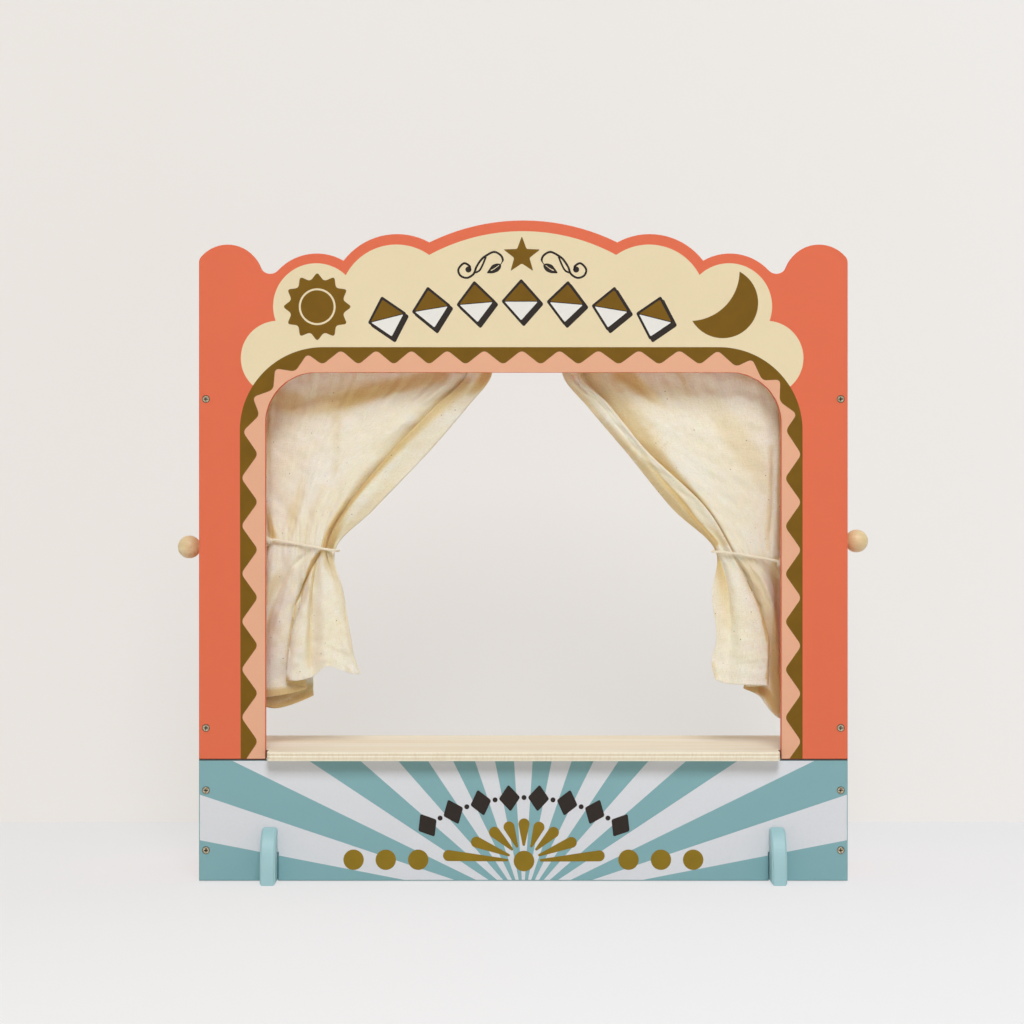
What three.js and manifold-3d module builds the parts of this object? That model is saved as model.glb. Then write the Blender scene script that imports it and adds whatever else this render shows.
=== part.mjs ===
// A table-top puppet theater stand: a scalloped front with a stage opening, a kickboard, two side
// boards, a plywood stage shelf, tied-back calico curtains on a dowel, ball pegs and slot-in feet.
// Millimetres, +Z up. The front faces -Y, and the origin is on the ground under the middle.

import * as THREE from 'three';
import * as BufferGeometryUtils from 'three/addons/utils/BufferGeometryUtils.js';
import Module from 'manifold-3d';

const wasm = await Module();
wasm.setup();

// Fits shared by all pieces
const fit_gap = 0.3; // between pieces that touch or seat in each other
const cut_overrun = 1; // how far a cutter runs past the face that it opens
const chord_height = 0.06; // how far a chord may lie inside its arc

// Front boards
const front_width = 600;
const board_thickness = 9;
const board_arris = 0.9;
const ground_gap = 1; // the kickboard clears the ground, the side boards stand on it
const kick_height = 111.8;
const opening_height = 358.2; // from the seam between the boards
const opening_corner_radius = 47;
const lintel_height = 140.4; // from the opening up to the crown
const jamb_width = 61.5;

// Scalloped crown, each lobe by its radius, its top's drop below the crown and its place across
const crown_radius = 196.6;
const inner_lobe_radius = 62.1;
const inner_lobe_drop = 12.6;
const inner_lobe_place_share = 0.3893;
const outer_lobe_radius = 49.05;
const outer_lobe_drop = 30.55;
const outer_lobe_place_share = 0.6367;
const ear_radius = 32.4;
const ear_drop = 22.3;
const ear_inset_share = 0.818; // of the ear's radius, in from the side edge
const valley_radius = 9.8; // between the outer lobe and the ear
const ear_side_round = 8;

// Side boards
const side_thickness = 13;
const side_depth = 125.7;
const side_height = 545;
const side_corner_radius = 60;

// Stage shelf
const shelf_thickness = 8.4;
const shelf_overhang = 14; // in front of the front boards
const shelf_end_gap = 2.3; // beside each jamb
const shelf_corner_radius = 5;
const shelf_arris = 0.6;

// Curtain rod
const rod_radius = 5;
const rod_rise = 23.7; // above the opening
const rod_setback = 37; // behind the front face
const rod_socket_depth = 7;

// Screws
const screw_head_radius = 3.5;
const screw_head_height = 2.2;
const screw_shank_radius = 1.6;
const screw_length = 28;
const screw_tip_length = 3;
const screw_recess_span = 4;
const screw_recess_width = 0.9;
const screw_recess_depth = 1.5;
const kick_screw_pitch = 55.4;
const upper_screw_rise = 29.2; // above the seam
const upper_screw_drop = 24.9; // below the top of the opening
const shelf_screw_shares = [0.22, 0.78]; // of the side boards' depth

// Ball pegs
const ball_radius = 11;
const ball_reach = 19.9; // from the side board to the ball's centre
const ball_neck_radius = 5;
const ball_neck_cove = 2;
const ball_tenon_radius = 4;
const ball_tenon_length = 8;
const ball_setback = 75; // behind the front face
const left_ball_height = 308.5;
const right_ball_height = 314.2;

// Tie-back pegs in the backs of the jambs
const tie_peg_place_share = 0.138; // of the jamb's width, out from the opening
const tie_peg_radius = 4;
const tie_peg_length = 20;
const tie_peg_head_radius = 6;
const tie_peg_head_length = 5;
const tie_peg_head_round = 1.6;
const tie_peg_tenon_radius = 3;
const tie_peg_tenon_length = 6;
const left_tie_height = 317;
const right_tie_height = 295;
const left_tie_slope_share = 0.155; // fall of the tied line towards the middle
const right_tie_slope_share = -0.15;

// Tie-back cords
const cord_radius = 1.25;
const cord_sides = 8;
const cord_steps = 62;

// Feet, cross-halved with the kickboard
const foot_thickness = 14;
const foot_height = 50.6;
const foot_reach = 22; // in front of the kickboard, and as far behind it
const foot_shoulder_height = 14;
const foot_inset = 65.6; // from the kickboard's end to the foot's middle
const foot_crossing_height = 27; // of the kickboard's slot, above the ground
const foot_side_gap = 0.5;
const foot_arris = 1.8;

// Curtains
const cloth_thickness = 1;
const curtain_end_gap = 4; // to the side board
const pocket_tail = 9; // back of the rod pocket, below the rod's axis
const pocket_segments = 4; // over the rod
const fold_depth = 10; // unit of the depth tables below

// Places that follow from the sizes
const half_width = front_width / 2;
const opening_half = half_width - jamb_width;
const inner_half = half_width - side_thickness;
const kick_top = ground_gap + kick_height;
const seam_top = kick_top + fit_gap;
const opening_top = seam_top + opening_height;
const crown_top = opening_top + lintel_height;
const total_depth = foot_reach + board_thickness + fit_gap + side_depth;
const front_y = foot_reach - total_depth / 2;
const board_back_y = front_y + board_thickness;
const side_front_y = board_back_y + fit_gap;
const back_y = side_front_y + side_depth;
const stage_z = seam_top + shelf_thickness;
const rod_y = front_y + rod_setback;
const rod_z = opening_top + rod_rise;
const tie_peg_x = opening_half + jamb_width * tie_peg_place_share;
const foot_x = half_width - foot_inset;
const side_middle_x = half_width - side_thickness / 2;
const ball_y = front_y + ball_setback;
const curtain_reach = inner_half - curtain_end_gap;
const curtain_drop = rod_z - stage_z;
const pocket_radius = (rod_radius + fit_gap + cloth_thickness / 2) / Math.cos(Math.PI / 2 / pocket_segments);

// Curtain tables: one row for each level down the cloth, one column for each ridge or valley, from
// the outer edge to the leading edge. Across is a share of curtain_reach, depth of fold_depth.
// The peg stands at its own share across. Upper levels are shares of the way from the tie up to the
// rod, and lower ones of the way from the stage up to the tie. The hem's are shares of curtain_drop.
const tie_peg_across_share = 0.87275;
const left_upper_level_shares = [0.8596, 0.4663, 0.1573];
const left_lower_level_shares = [0.734, 0.5294];
const right_upper_level_shares = [0.875, 0.525, 0.25];
const right_lower_level_shares = [0.8271, 0.5965];
const left_fold_across_shares = [
  [1, 0.947, 0.89, 0.827, 0.753, 0.678, 0.604, 0.534, 0.463, 0.392, 0.325, 0.247, 0.152, 0.124, 0.1],
  [0.986, 0.926, 0.883, 0.841, 0.781, 0.728, 0.686, 0.647, 0.611, 0.572, 0.537, 0.491, 0.424, 0.367, 0.314],
  [0.961, 0.912, 0.873, 0.834, 0.777, 0.746, 0.724, 0.703, 0.682, 0.664, 0.647, 0.625, 0.594, 0.551, 0.512],
  [0.926, 0.89, 0.862, 0.82, 0.774, 0.746, 0.724, 0.707, 0.694, 0.682, 0.67, 0.657, 0.645, 0.634, 0.625],
  [0.933, 0.908, 0.883, 0.852, 0.816, 0.784, 0.756, 0.739, 0.728, 0.714, 0.698, 0.664, 0.625, 0.606, 0.595],
  [0.94, 0.89, 0.848, 0.873, 0.869, 0.827, 0.784, 0.749, 0.77, 0.728, 0.705, 0.661, 0.615, 0.587, 0.572],
  [0.947, 0.848, 0.703, 0.83, 0.908, 0.862, 0.795, 0.721, 0.787, 0.746, 0.701, 0.65, 0.594, 0.562, 0.539],
];
const left_fold_depth_shares = [
  [-0.4, -0.8, -0.4, -0.8, -0.4, -0.7, -0.4, -0.7, -0.4, -0.7, -0.4, -0.7, -0.3, -0.8, -0.4],
  [0, -0.5, 0, -0.6, -0.1, -0.4, -0.5, -0.2, -0.3, -0.4, -0.2, -0.6, 0.2, -0.5, 0],
  [0.4, -0.1, 0.6, -0.5, 0.1, -0.4, -0.4, 0, -0.3, -0.5, -0.1, -0.6, 0.3, -0.5, 0],
  [1, 0.2, 0.9, -0.7, 0.1, -0.6, -0.4, 0.4, -0.2, -0.6, 0.3, -0.7, 0.3, -0.5, 0.2],
  [1.2, 0.3, 0.8, -0.3, 0.6, -0.5, -0.4, 0.4, -0.2, -0.6, 0.1, -0.9, -0.5, -0.9, -0.4],
  [2, 1.7, 1.4, 0.9, 0.7, -0.2, 0, 0.4, -0.4, -0.7, -0.1, -1, -0.5, -0.9, -0.5],
  [2.3, 2, 1.5, 1.3, 0.8, 0.4, 0.2, 0.3, -0.5, -0.9, -0.4, -1.1, -0.6, -0.9, -0.6],
];
const left_fold_hem_shares = [
  0.087, 0.098, 0.124, 0.092, 0.114, 0.122, 0.13, 0.146, 0.165, 0.167, 0.175, 0.203, 0.19, 0.184, 0.183,
];
const right_fold_across_shares = [
  [1, 0.94, 0.876, 0.806, 0.724, 0.65, 0.58, 0.509, 0.438, 0.367, 0.297, 0.227, 0.191, 0.163, 0.136],
  [0.986, 0.926, 0.876, 0.834, 0.774, 0.717, 0.668, 0.618, 0.565, 0.509, 0.454, 0.42, 0.375, 0.357, 0.343],
  [0.961, 0.908, 0.869, 0.841, 0.809, 0.777, 0.749, 0.721, 0.693, 0.654, 0.611, 0.588, 0.525, 0.514, 0.504],
  [0.926, 0.89, 0.859, 0.834, 0.809, 0.788, 0.77, 0.753, 0.737, 0.719, 0.703, 0.693, 0.657, 0.648, 0.642],
  [0.94, 0.926, 0.908, 0.89, 0.873, 0.852, 0.834, 0.816, 0.802, 0.784, 0.76, 0.765, 0.71, 0.67, 0.627],
  [0.947, 0.933, 0.919, 0.905, 0.89, 0.873, 0.859, 0.845, 0.827, 0.802, 0.777, 0.814, 0.724, 0.686, 0.636],
  [0.947, 0.936, 0.926, 0.915, 0.905, 0.89, 0.876, 0.855, 0.823, 0.784, 0.735, 0.813, 0.731, 0.678, 0.637],
];
const right_fold_depth_shares = [
  [-0.4, -0.8, -0.4, -0.8, -0.5, -0.7, -0.5, -0.7, -0.5, -0.8, -0.3, -0.8, -0.4, -0.7, -0.4],
  [0, -0.5, -0.1, -0.6, -0.3, -0.5, -0.3, -0.5, -0.4, -0.7, 0, -0.7, -0.2, -0.5, 0],
  [0.4, -0.1, 0.3, -0.6, -0.2, -0.5, -0.3, -0.5, -0.3, -0.6, 0.2, -0.7, 0.1, -0.4, 0],
  [1, 0.2, 0.7, -0.6, -0.2, -0.6, -0.2, -0.6, -0.1, -0.5, 0.3, -0.8, -0.1, -0.4, 0],
  [2, 1.5, 1.8, 1.4, 1.6, 1.2, 0.4, -0.2, -0.1, 0, 0.5, -0.4, -0.8, -0.1, -0.6],
  [2, 1.6, 1.8, 1.5, 1.6, 1.4, 0.9, 0.3, 0.1, 0.2, 0.5, -0.5, -0.9, -0.2, -0.6],
  [2, 1.7, 1.9, 1.6, 1.7, 1.5, 1.3, 1.1, 0.9, 0.6, 0.4, -0.6, -0.9, -0.2, -0.6],
];
const right_fold_hem_shares = [
  0.066, 0.066, 0.066, 0.066, 0.066, 0.066, 0.066, 0.068, 0.09, 0.127, 0.146, 0.154, 0.158, 0.159, 0.16,
];

// Routes of the tie-back cords. The shares lead from the peg in to the cloth's leading edge. The places
// are outward of the peg, back from the rod's plane and up from the peg. Each cord starts on its peg,
// loops over it, and goes round the curtain and back.
const left_cord_inward_shares = [
  0, 0, 0, 0, 0, 0.214, 0.385, 0.556, 0.741, 0.877, 0.973, 1.042, 1.007, 0.813,
  0.456, 0.214, 0, 0, 0, 0, 0, 0, 0, 0, 0,
];
const left_cord_route = [
  [5.7, -11.5, -2], [4.9, -11.5, 3.5], [0, -11.6, 6.1], [-4.3, -11.8, 4.4], [-8.4, -12.1, -0.3],
  [0, -10.9, -1.2], [0, -9.8, -3.2], [0, -9.6, -5.4], [0, -9.8, -7.8], [0, -9.6, -9.8],
  [0, -8, -10.8], [0, -1.8, -11.2], [0, 5, -11.4], [0, 7.8, -11], [0, 9.8, -9.8],
  [0, 13, -9], [3, 14.5, -8.5], [14, 14.6, -8.2], [20.5, 9.5, -8], [19, 3, -7.9],
  [13, -1.6, -7.8], [5, -3.2, -8.4], [-1.6, -6, -8.2], [-5.8, -9, -6.4], [-7.8, -10.8, -3.9],
];
const right_cord_inward_shares = [
  0, 0, 0, 0, 0, 0.199, 0.367, 0.52, 0.658, 0.781, 0.903, 0.98, 1.053, 1.023,
  0.842, 0.643, 0.337, 0, 0, 0, 0, 0, 0, 0, 0, 0, 0,
];
const right_cord_route = [
  [5.7, -11.5, -2], [4.9, -11.5, 3.5], [0, -11.6, 6.1], [-4.3, -11.8, 4.6], [-7.2, -12, 1.2],
  [0, -10.2, 1.9], [0, -9.4, 4], [0, -9.2, 5.6], [0, -9.6, 7.1], [0, -10.8, 8.3],
  [0, -8.8, 9.3], [0, -7.2, 9.7], [0, -2.2, 10], [0, 3.8, 10], [0, 6.6, 9.4],
  [0, 7.4, 8], [0, 9, 5], [-7, 11.6, 1.5], [5, 14.4, -3.5], [14, 14.6, -6.8],
  [21, 9.5, -8], [19, 3, -8], [13, -1.6, -8], [5, -3.2, -8.4], [-1, -6, -8.3],
  [-4.4, -9, -6.8], [-6, -10.9, -3.8],
];

// Colours
const coral = { color: 0xe27352, roughness: 0.5, metalness: 0 };
const teal = { color: 0x7da7aa, roughness: 0.45, metalness: 0 };
const foot_teal = { color: 0x96bec6, roughness: 0.4, metalness: 0 };
const plywood = { color: 0xecdebe, roughness: 0.6, metalness: 0 };
const beech = { color: 0xdcc391, roughness: 0.5, metalness: 0 };
const calico = { color: 0xe8dec8, roughness: 0.95, metalness: 0 };
const cotton = { color: 0xefe6d4, roughness: 0.9, metalness: 0 };
const bronze = { color: 0x9a8058, roughness: 0.4, metalness: 0.9 };

function named(name, geometry, look) {
  const mesh = new THREE.Mesh(geometry, new THREE.MeshStandardMaterial(look));
  mesh.name = name;
  return mesh;
}

// Joining and cutting

function solid(geometry) {
  const bare = geometry.clone();
  bare.deleteAttribute('normal');
  bare.deleteAttribute('uv');
  const merged = BufferGeometryUtils.mergeVertices(bare);
  return new wasm.Manifold(new wasm.Mesh({
    numProp: 3,
    vertProperties: new Float32Array(merged.attributes.position.array),
    triVerts: new Uint32Array(merged.index.array),
  }));
}

function cut(geometry, cutters) {
  let body = solid(geometry);
  for (const cutter of cutters) {
    body = body.subtract(solid(cutter));
  }
  const mesh = body.getMesh();
  const result = new THREE.BufferGeometry();
  result.setAttribute('position', new THREE.BufferAttribute(new Float32Array(mesh.vertProperties), 3));
  result.setIndex(new THREE.BufferAttribute(new Uint32Array(mesh.triVerts), 1));
  result.computeVertexNormals();
  return result;
}

// Plane curves

function arcPoints(circle, start, end) {
  const step = 2 * Math.acos(1 - chord_height / circle.r);
  const count = Math.max(2, Math.ceil(Math.abs(end - start) / step));
  const points = [];
  for (let i = 0; i <= count; i++) {
    const angle = start + (end - start) * i / count;
    points.push(new THREE.Vector2(circle.x + circle.r * Math.cos(angle), circle.y + circle.r * Math.sin(angle)));
  }
  return points;
}

function angleTo(from, to) {
  return Math.atan2(to.y - from.y, to.x - from.x);
}

// Upper crossing of two circles, seen from below
function upperCrossing(a, b) {
  const gap = Math.hypot(b.x - a.x, b.y - a.y);
  const along = (gap * gap + a.r * a.r - b.r * b.r) / (2 * gap);
  const up = Math.sqrt(a.r * a.r - along * along);
  const dir = new THREE.Vector2(b.x - a.x, b.y - a.y).divideScalar(gap);
  const turn = dir.x > 0 ? 1 : -1;
  return new THREE.Vector2(a.x + dir.x * along - dir.y * up * turn, a.y + dir.y * along + dir.x * up * turn);
}

function lobe(place, radius, drop) {
  return { x: place, y: crown_top - drop - radius, r: radius };
}

// Right half of the crown, from its middle out to the side edge
function crownPoints() {
  const crown = lobe(0, crown_radius, 0);
  const inner = lobe(half_width * inner_lobe_place_share, inner_lobe_radius, inner_lobe_drop);
  const outer = lobe(half_width * outer_lobe_place_share, outer_lobe_radius, outer_lobe_drop);
  const ear = lobe(half_width - ear_radius * ear_inset_share, ear_radius, ear_drop);
  const first = upperCrossing(crown, inner);
  const second = upperCrossing(inner, outer);
  const valley = upperCrossing(
    { x: outer.x, y: outer.y, r: outer.r + valley_radius },
    { x: ear.x, y: ear.y, r: ear.r + valley_radius },
  );
  const trough = { x: valley.x, y: valley.y, r: valley_radius };
  const round = Math.min(ear_side_round, ear_radius / 2);
  const round_x = half_width - round;
  const round_rise = Math.sqrt((ear.r - round) ** 2 - (round_x - ear.x) ** 2);
  const corner = { x: round_x, y: ear.y + round_rise, r: round };
  return [
    ...arcPoints(crown, Math.PI / 2, angleTo(crown, first)),
    ...arcPoints(inner, angleTo(inner, first), angleTo(inner, second)).slice(1),
    ...arcPoints(outer, angleTo(outer, second), angleTo(outer, trough)).slice(1),
    ...arcPoints(trough, angleTo(trough, outer), angleTo(trough, ear)).slice(1),
    ...arcPoints(ear, angleTo(ear, trough), angleTo(ear, corner)).slice(1),
    ...arcPoints(corner, angleTo(ear, corner), 0).slice(1),
  ];
}

function mirrored(points) {
  return points.map((p) => new THREE.Vector2(-p.x, p.y)).reverse();
}

// A board on edge: the outline's x and y become X and Z, and its front face lies at local y = 0
function uprightBoard(outline, thickness, arris) {
  const geometry = new THREE.ExtrudeGeometry(new THREE.Shape(outline), {
    depth: thickness - 2 * arris,
    bevelThickness: arris,
    bevelSize: arris,
    bevelOffset: -arris,
    bevelSegments: 1,
    curveSegments: 1,
  });
  geometry.rotateX(Math.PI / 2);
  geometry.translate(0, thickness - arris, 0);
  return geometry;
}

// A round piece turned about Z, from a profile that starts and ends on the axis
function turned(profile, segments) {
  return new THREE.LatheGeometry(profile.map(([r, z]) => new THREE.Vector2(r, z)), segments)
    .rotateX(Math.PI / 2);
}

function roundBore(radius, length, segments) {
  return new THREE.CylinderGeometry(radius, radius, length, segments).rotateX(Math.PI / 2);
}

// Screws: the axis is Z, the head's face at z = 0 and the point below it

function screwProfile(grow) {
  return [
    [0, -screw_length - grow],
    [screw_shank_radius + grow, -screw_length + screw_tip_length - grow],
    [screw_shank_radius + grow, -screw_head_height],
    [screw_head_radius + grow, 0],
  ];
}

function screwBlank() {
  return turned([...screwProfile(0), [0, 0]], 16);
}

function screwCutter() {
  const top = cut_overrun;
  return turned([...screwProfile(fit_gap), [screw_head_radius + fit_gap, top], [0, top]], 16);
}

function screw() {
  const depth = 2 * screw_recess_depth;
  const one = new THREE.BoxGeometry(screw_recess_span, screw_recess_width, depth);
  const other = new THREE.BoxGeometry(screw_recess_width, screw_recess_span, depth);
  return cut(screwBlank(), [one, other]);
}

// Every screw's place, with the way its point goes: y for back, x for in from the side
const kick_middle_z = ground_gap + kick_height / 2;
const front_screw_heights = [
  ['lower_bottom', kick_middle_z - kick_screw_pitch / 2],
  ['lower_top', kick_middle_z + kick_screw_pitch / 2],
  ['upper_bottom', seam_top + upper_screw_rise],
  ['upper_top', opening_top - upper_screw_drop],
];
const sides = [['left', -1], ['right', 1]];

function frontScrewPlaces(side) {
  return front_screw_heights.map(([label, z]) => ({ label, x: side * side_middle_x, y: front_y, z }));
}

function shelfScrewPlaces(side) {
  return shelf_screw_shares.map((share, i) => ({
    label: i === 0 ? 'front' : 'rear',
    x: side * half_width,
    y: side_front_y + side_depth * share,
    z: seam_top + shelf_thickness / 2,
  }));
}

// Turned so that the point goes back into the theater
function backward(geometry) {
  return geometry.rotateX(Math.PI / 2);
}

// Turned so that the point goes in from a side board
function inward(geometry, side) {
  return geometry.rotateY(side * Math.PI / 2);
}

function frontScrewCutters(side) {
  return frontScrewPlaces(side).map((p) => backward(screwCutter()).translate(p.x, p.y, p.z));
}

function shelfScrewCutters(side) {
  return shelfScrewPlaces(side).map((p) => inward(screwCutter(), side).translate(p.x, p.y, p.z));
}

// Front boards

function openingPoints() {
  const corner = {
    x: opening_half - opening_corner_radius,
    y: opening_top - opening_corner_radius,
    r: opening_corner_radius,
  };
  return [new THREE.Vector2(opening_half, seam_top), ...arcPoints(corner, 0, Math.PI / 2)];
}

function upperFrontPanel() {
  const right = [...crownPoints(), new THREE.Vector2(half_width, seam_top), ...openingPoints()];
  const outline = [...right, ...mirrored(right).slice(0, -1)];
  const board = uprightBoard(outline, board_thickness, board_arris).translate(0, front_y, 0);
  const cutters = sides.flatMap(([label, side]) => [
    ...frontScrewCutters(side),
    roundBore(tie_peg_tenon_radius + fit_gap, 2 * (tie_peg_tenon_length + fit_gap), 18)
      .rotateX(Math.PI / 2)
      .translate(side * tie_peg_x, board_back_y, tieHeight(label)),
  ]);
  return cut(board, cutters);
}

function lowerFrontPanel() {
  const slot_half = foot_thickness / 2 + foot_side_gap;
  const right = [
    [half_width, kick_top],
    [half_width, ground_gap],
    [foot_x + slot_half, ground_gap],
    [foot_x + slot_half, foot_crossing_height],
    [foot_x - slot_half, foot_crossing_height],
    [foot_x - slot_half, ground_gap],
  ].map(([x, z]) => new THREE.Vector2(x, z));
  const board = uprightBoard([...right, ...mirrored(right)], board_thickness, board_arris);
  board.translate(0, front_y, 0);
  return cut(board, sides.flatMap(([, side]) => frontScrewCutters(side)));
}

// Side boards, drawn with y as x and turned to stand along the depth

function sidePanel(label, side) {
  const corner = { x: back_y - side_corner_radius, y: side_height - side_corner_radius, r: side_corner_radius };
  const outline = [
    new THREE.Vector2(side_front_y, 0),
    new THREE.Vector2(back_y, 0),
    ...arcPoints(corner, 0, Math.PI / 2),
    new THREE.Vector2(side_front_y, side_height),
  ];
  const board = uprightBoard(outline, side_thickness, board_arris).rotateZ(Math.PI / 2);
  board.translate(side > 0 ? half_width : -inner_half, 0, 0);
  const rod_socket = roundBore(rod_radius + fit_gap, 2 * rod_socket_depth, 24)
    .rotateY(Math.PI / 2)
    .translate(side * inner_half, rod_y, rod_z);
  const ball_bore = roundBore(ball_tenon_radius + fit_gap, 2 * (ball_tenon_length + fit_gap), 24)
    .rotateY(Math.PI / 2)
    .translate(side * half_width, ball_y, ballHeight(label));
  return cut(board, [rod_socket, ball_bore, ...frontScrewCutters(side), ...shelfScrewCutters(side)]);
}

// Stage shelf: a tongue through the opening, and the full width behind the front

function stageShelf() {
  const tongue_half = opening_half - shelf_end_gap;
  const rear_half = inner_half - fit_gap;
  const lip_y = front_y - shelf_overhang;
  const corner = { x: tongue_half - shelf_corner_radius, y: lip_y + shelf_corner_radius, r: shelf_corner_radius };
  const right = [
    ...arcPoints(corner, -Math.PI / 2, 0),
    new THREE.Vector2(tongue_half, side_front_y),
    new THREE.Vector2(rear_half, side_front_y),
    new THREE.Vector2(rear_half, back_y),
  ];
  const board = new THREE.ExtrudeGeometry(new THREE.Shape([...right, ...mirrored(right)]), {
    depth: shelf_thickness - 2 * shelf_arris,
    bevelThickness: shelf_arris,
    bevelSize: shelf_arris,
    bevelOffset: -shelf_arris,
    bevelSegments: 1,
    curveSegments: 1,
  });
  board.translate(0, 0, seam_top + shelf_arris);
  return cut(board, sides.flatMap(([, side]) => shelfScrewCutters(side)));
}

function curtainRod() {
  const length = 2 * (inner_half + rod_socket_depth - fit_gap);
  return new THREE.CylinderGeometry(rod_radius, rod_radius, length, 24).rotateZ(Math.PI / 2);
}

// Ball peg along +Z: tenon, neck with a cove, and the ball

function ballHeight(label) {
  return label === 'left' ? left_ball_height : right_ball_height;
}

function ballPeg() {
  const ball = { x: 0, y: ball_reach, r: ball_radius };
  const cove = { x: ball_neck_radius + ball_neck_cove, r: ball_neck_cove };
  const spread = ball_radius + ball_neck_cove;
  cove.y = ball_reach - Math.sqrt(spread * spread - cove.x * cove.x);
  const touch = angleTo(ball, cove);
  const cove_points = arcPoints(cove, Math.PI, angleTo(cove, ball));
  const ball_points = arcPoints(ball, touch, Math.PI / 2).slice(1, -1);
  return turned([
    [0, -ball_tenon_length],
    [ball_tenon_radius, -ball_tenon_length],
    [ball_tenon_radius, fit_gap],
    [ball_neck_radius, fit_gap],
    ...cove_points.map((p) => [p.x, p.y]),
    ...ball_points.map((p) => [p.x, p.y]),
    [0, ball_reach + ball_radius],
  ], 26);
}

// Tie-back peg along +Z: tenon, shank and a rounded head

function tieHeight(label) {
  return label === 'left' ? left_tie_height : right_tie_height;
}

function tiePeg() {
  const head_start = fit_gap + tie_peg_length;
  const head_end = head_start + tie_peg_head_length;
  const low = { x: tie_peg_head_radius - tie_peg_head_round, y: head_start + tie_peg_head_round, r: tie_peg_head_round };
  const high = { x: low.x, y: head_end - tie_peg_head_round, r: tie_peg_head_round };
  return turned([
    [0, -tie_peg_tenon_length],
    [tie_peg_tenon_radius, -tie_peg_tenon_length],
    [tie_peg_tenon_radius, fit_gap],
    [tie_peg_radius, fit_gap],
    [tie_peg_radius, head_start],
    ...arcPoints(low, -Math.PI / 2, 0).map((p) => [p.x, p.y]),
    ...arcPoints(high, 0, Math.PI / 2).map((p) => [p.x, p.y]),
    [0, head_end],
  ], 16);
}

// Foot: quarter ellipses front and back over straight shoulders, halved from above for the kickboard

function foot() {
  const base_half = foot_reach + board_thickness / 2;
  const rise = foot_height - foot_shoulder_height;
  const curve = new THREE.EllipseCurve(base_half - foot_reach, foot_shoulder_height, foot_reach, rise, 0, Math.PI / 2);
  const right = [new THREE.Vector2(base_half, 0), ...curve.getPoints(14)];
  const block = uprightBoard([...right, ...mirrored(right)], foot_thickness, foot_arris);
  block.translate(0, -foot_thickness / 2, 0).rotateZ(Math.PI / 2);
  const slot_bottom = foot_crossing_height - fit_gap;
  const slot_height = foot_height - slot_bottom + cut_overrun;
  const slot = new THREE.BoxGeometry(foot_thickness + 2 * cut_overrun, board_thickness + 2 * fit_gap, slot_height);
  slot.translate(0, 0, slot_bottom + slot_height / 2);
  return cut(block, [slot]);
}

// Curtain cloth

function foldTables(label) {
  if (label === 'left') {
    return {
      across_shares: left_fold_across_shares,
      depth_shares: left_fold_depth_shares,
      upper_shares: left_upper_level_shares,
      lower_shares: left_lower_level_shares,
      hem_shares: left_fold_hem_shares,
      slope_share: left_tie_slope_share,
    };
  }
  return {
    across_shares: right_fold_across_shares,
    depth_shares: right_fold_depth_shares,
    upper_shares: right_upper_level_shares,
    lower_shares: right_lower_level_shares,
    hem_shares: right_fold_hem_shares,
    slope_share: right_tie_slope_share,
  };
}

// Place across: even shares from the middle to the peg, and from the peg to the cloth's outer edge
function acrossPlace(share) {
  if (share <= tie_peg_across_share) {
    return tie_peg_x * share / tie_peg_across_share;
  }
  const past = (share - tie_peg_across_share) / (1 - tie_peg_across_share);
  return tie_peg_x + (curtain_reach - tie_peg_x) * past;
}

// One ridge or valley line from the rod pocket to the hem
function foldLine(label, side, column) {
  const tables = foldTables(label);
  const tie_z = tieHeight(label);
  const heights = [
    ...tables.upper_shares.map((share) => tie_z + (rod_z - tie_z) * share),
    tie_z,
    ...tables.lower_shares.map((share) => stage_z + (tie_z - stage_z) * share),
    stage_z + curtain_drop * tables.hem_shares[column],
  ];
  const top_out = acrossPlace(tables.across_shares[0][column]);
  const points = [new THREE.Vector3(side * top_out, rod_y - pocket_radius, rod_z)];
  heights.forEach((height, level) => {
    const out = acrossPlace(tables.across_shares[level][column]);
    const tied = level === tables.upper_shares.length;
    const z = tied ? height - tables.slope_share * (tie_peg_x - out) : height;
    points.push(new THREE.Vector3(side * out, rod_y + fold_depth * tables.depth_shares[level][column], z));
  });
  return new THREE.CatmullRomCurve3(points);
}

// Rows of points down the cloth: the pocket's tail, over the rod, then down the fold lines
function clothRows(label, side) {
  const columns = left_fold_hem_shares.length;
  const lines = Array.from({ length: columns }, (unused, column) => foldLine(label, side, column));
  const rows = [];
  rows.push(lines.map((line) => {
    const top = line.getPoint(0);
    return new THREE.Vector3(top.x, rod_y + pocket_radius, rod_z - pocket_tail);
  }));
  for (let i = 0; i < pocket_segments; i++) {
    const angle = Math.PI * i / pocket_segments;
    rows.push(lines.map((line) => {
      const top = line.getPoint(0);
      const y = rod_y + pocket_radius * Math.cos(angle);
      return new THREE.Vector3(top.x, y, rod_z + pocket_radius * Math.sin(angle));
    }));
  }
  const steps = 2 * left_fold_across_shares.length;
  for (let i = 0; i <= steps; i++) {
    rows.push(lines.map((line) => line.getPoint(i / steps)));
  }
  return rows.map((row) => {
    const across = new THREE.CatmullRomCurve3(row);
    const count = 2 * (columns - 1);
    return Array.from({ length: count + 1 }, (unused, i) => across.getPoint(i / count));
  });
}

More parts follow.
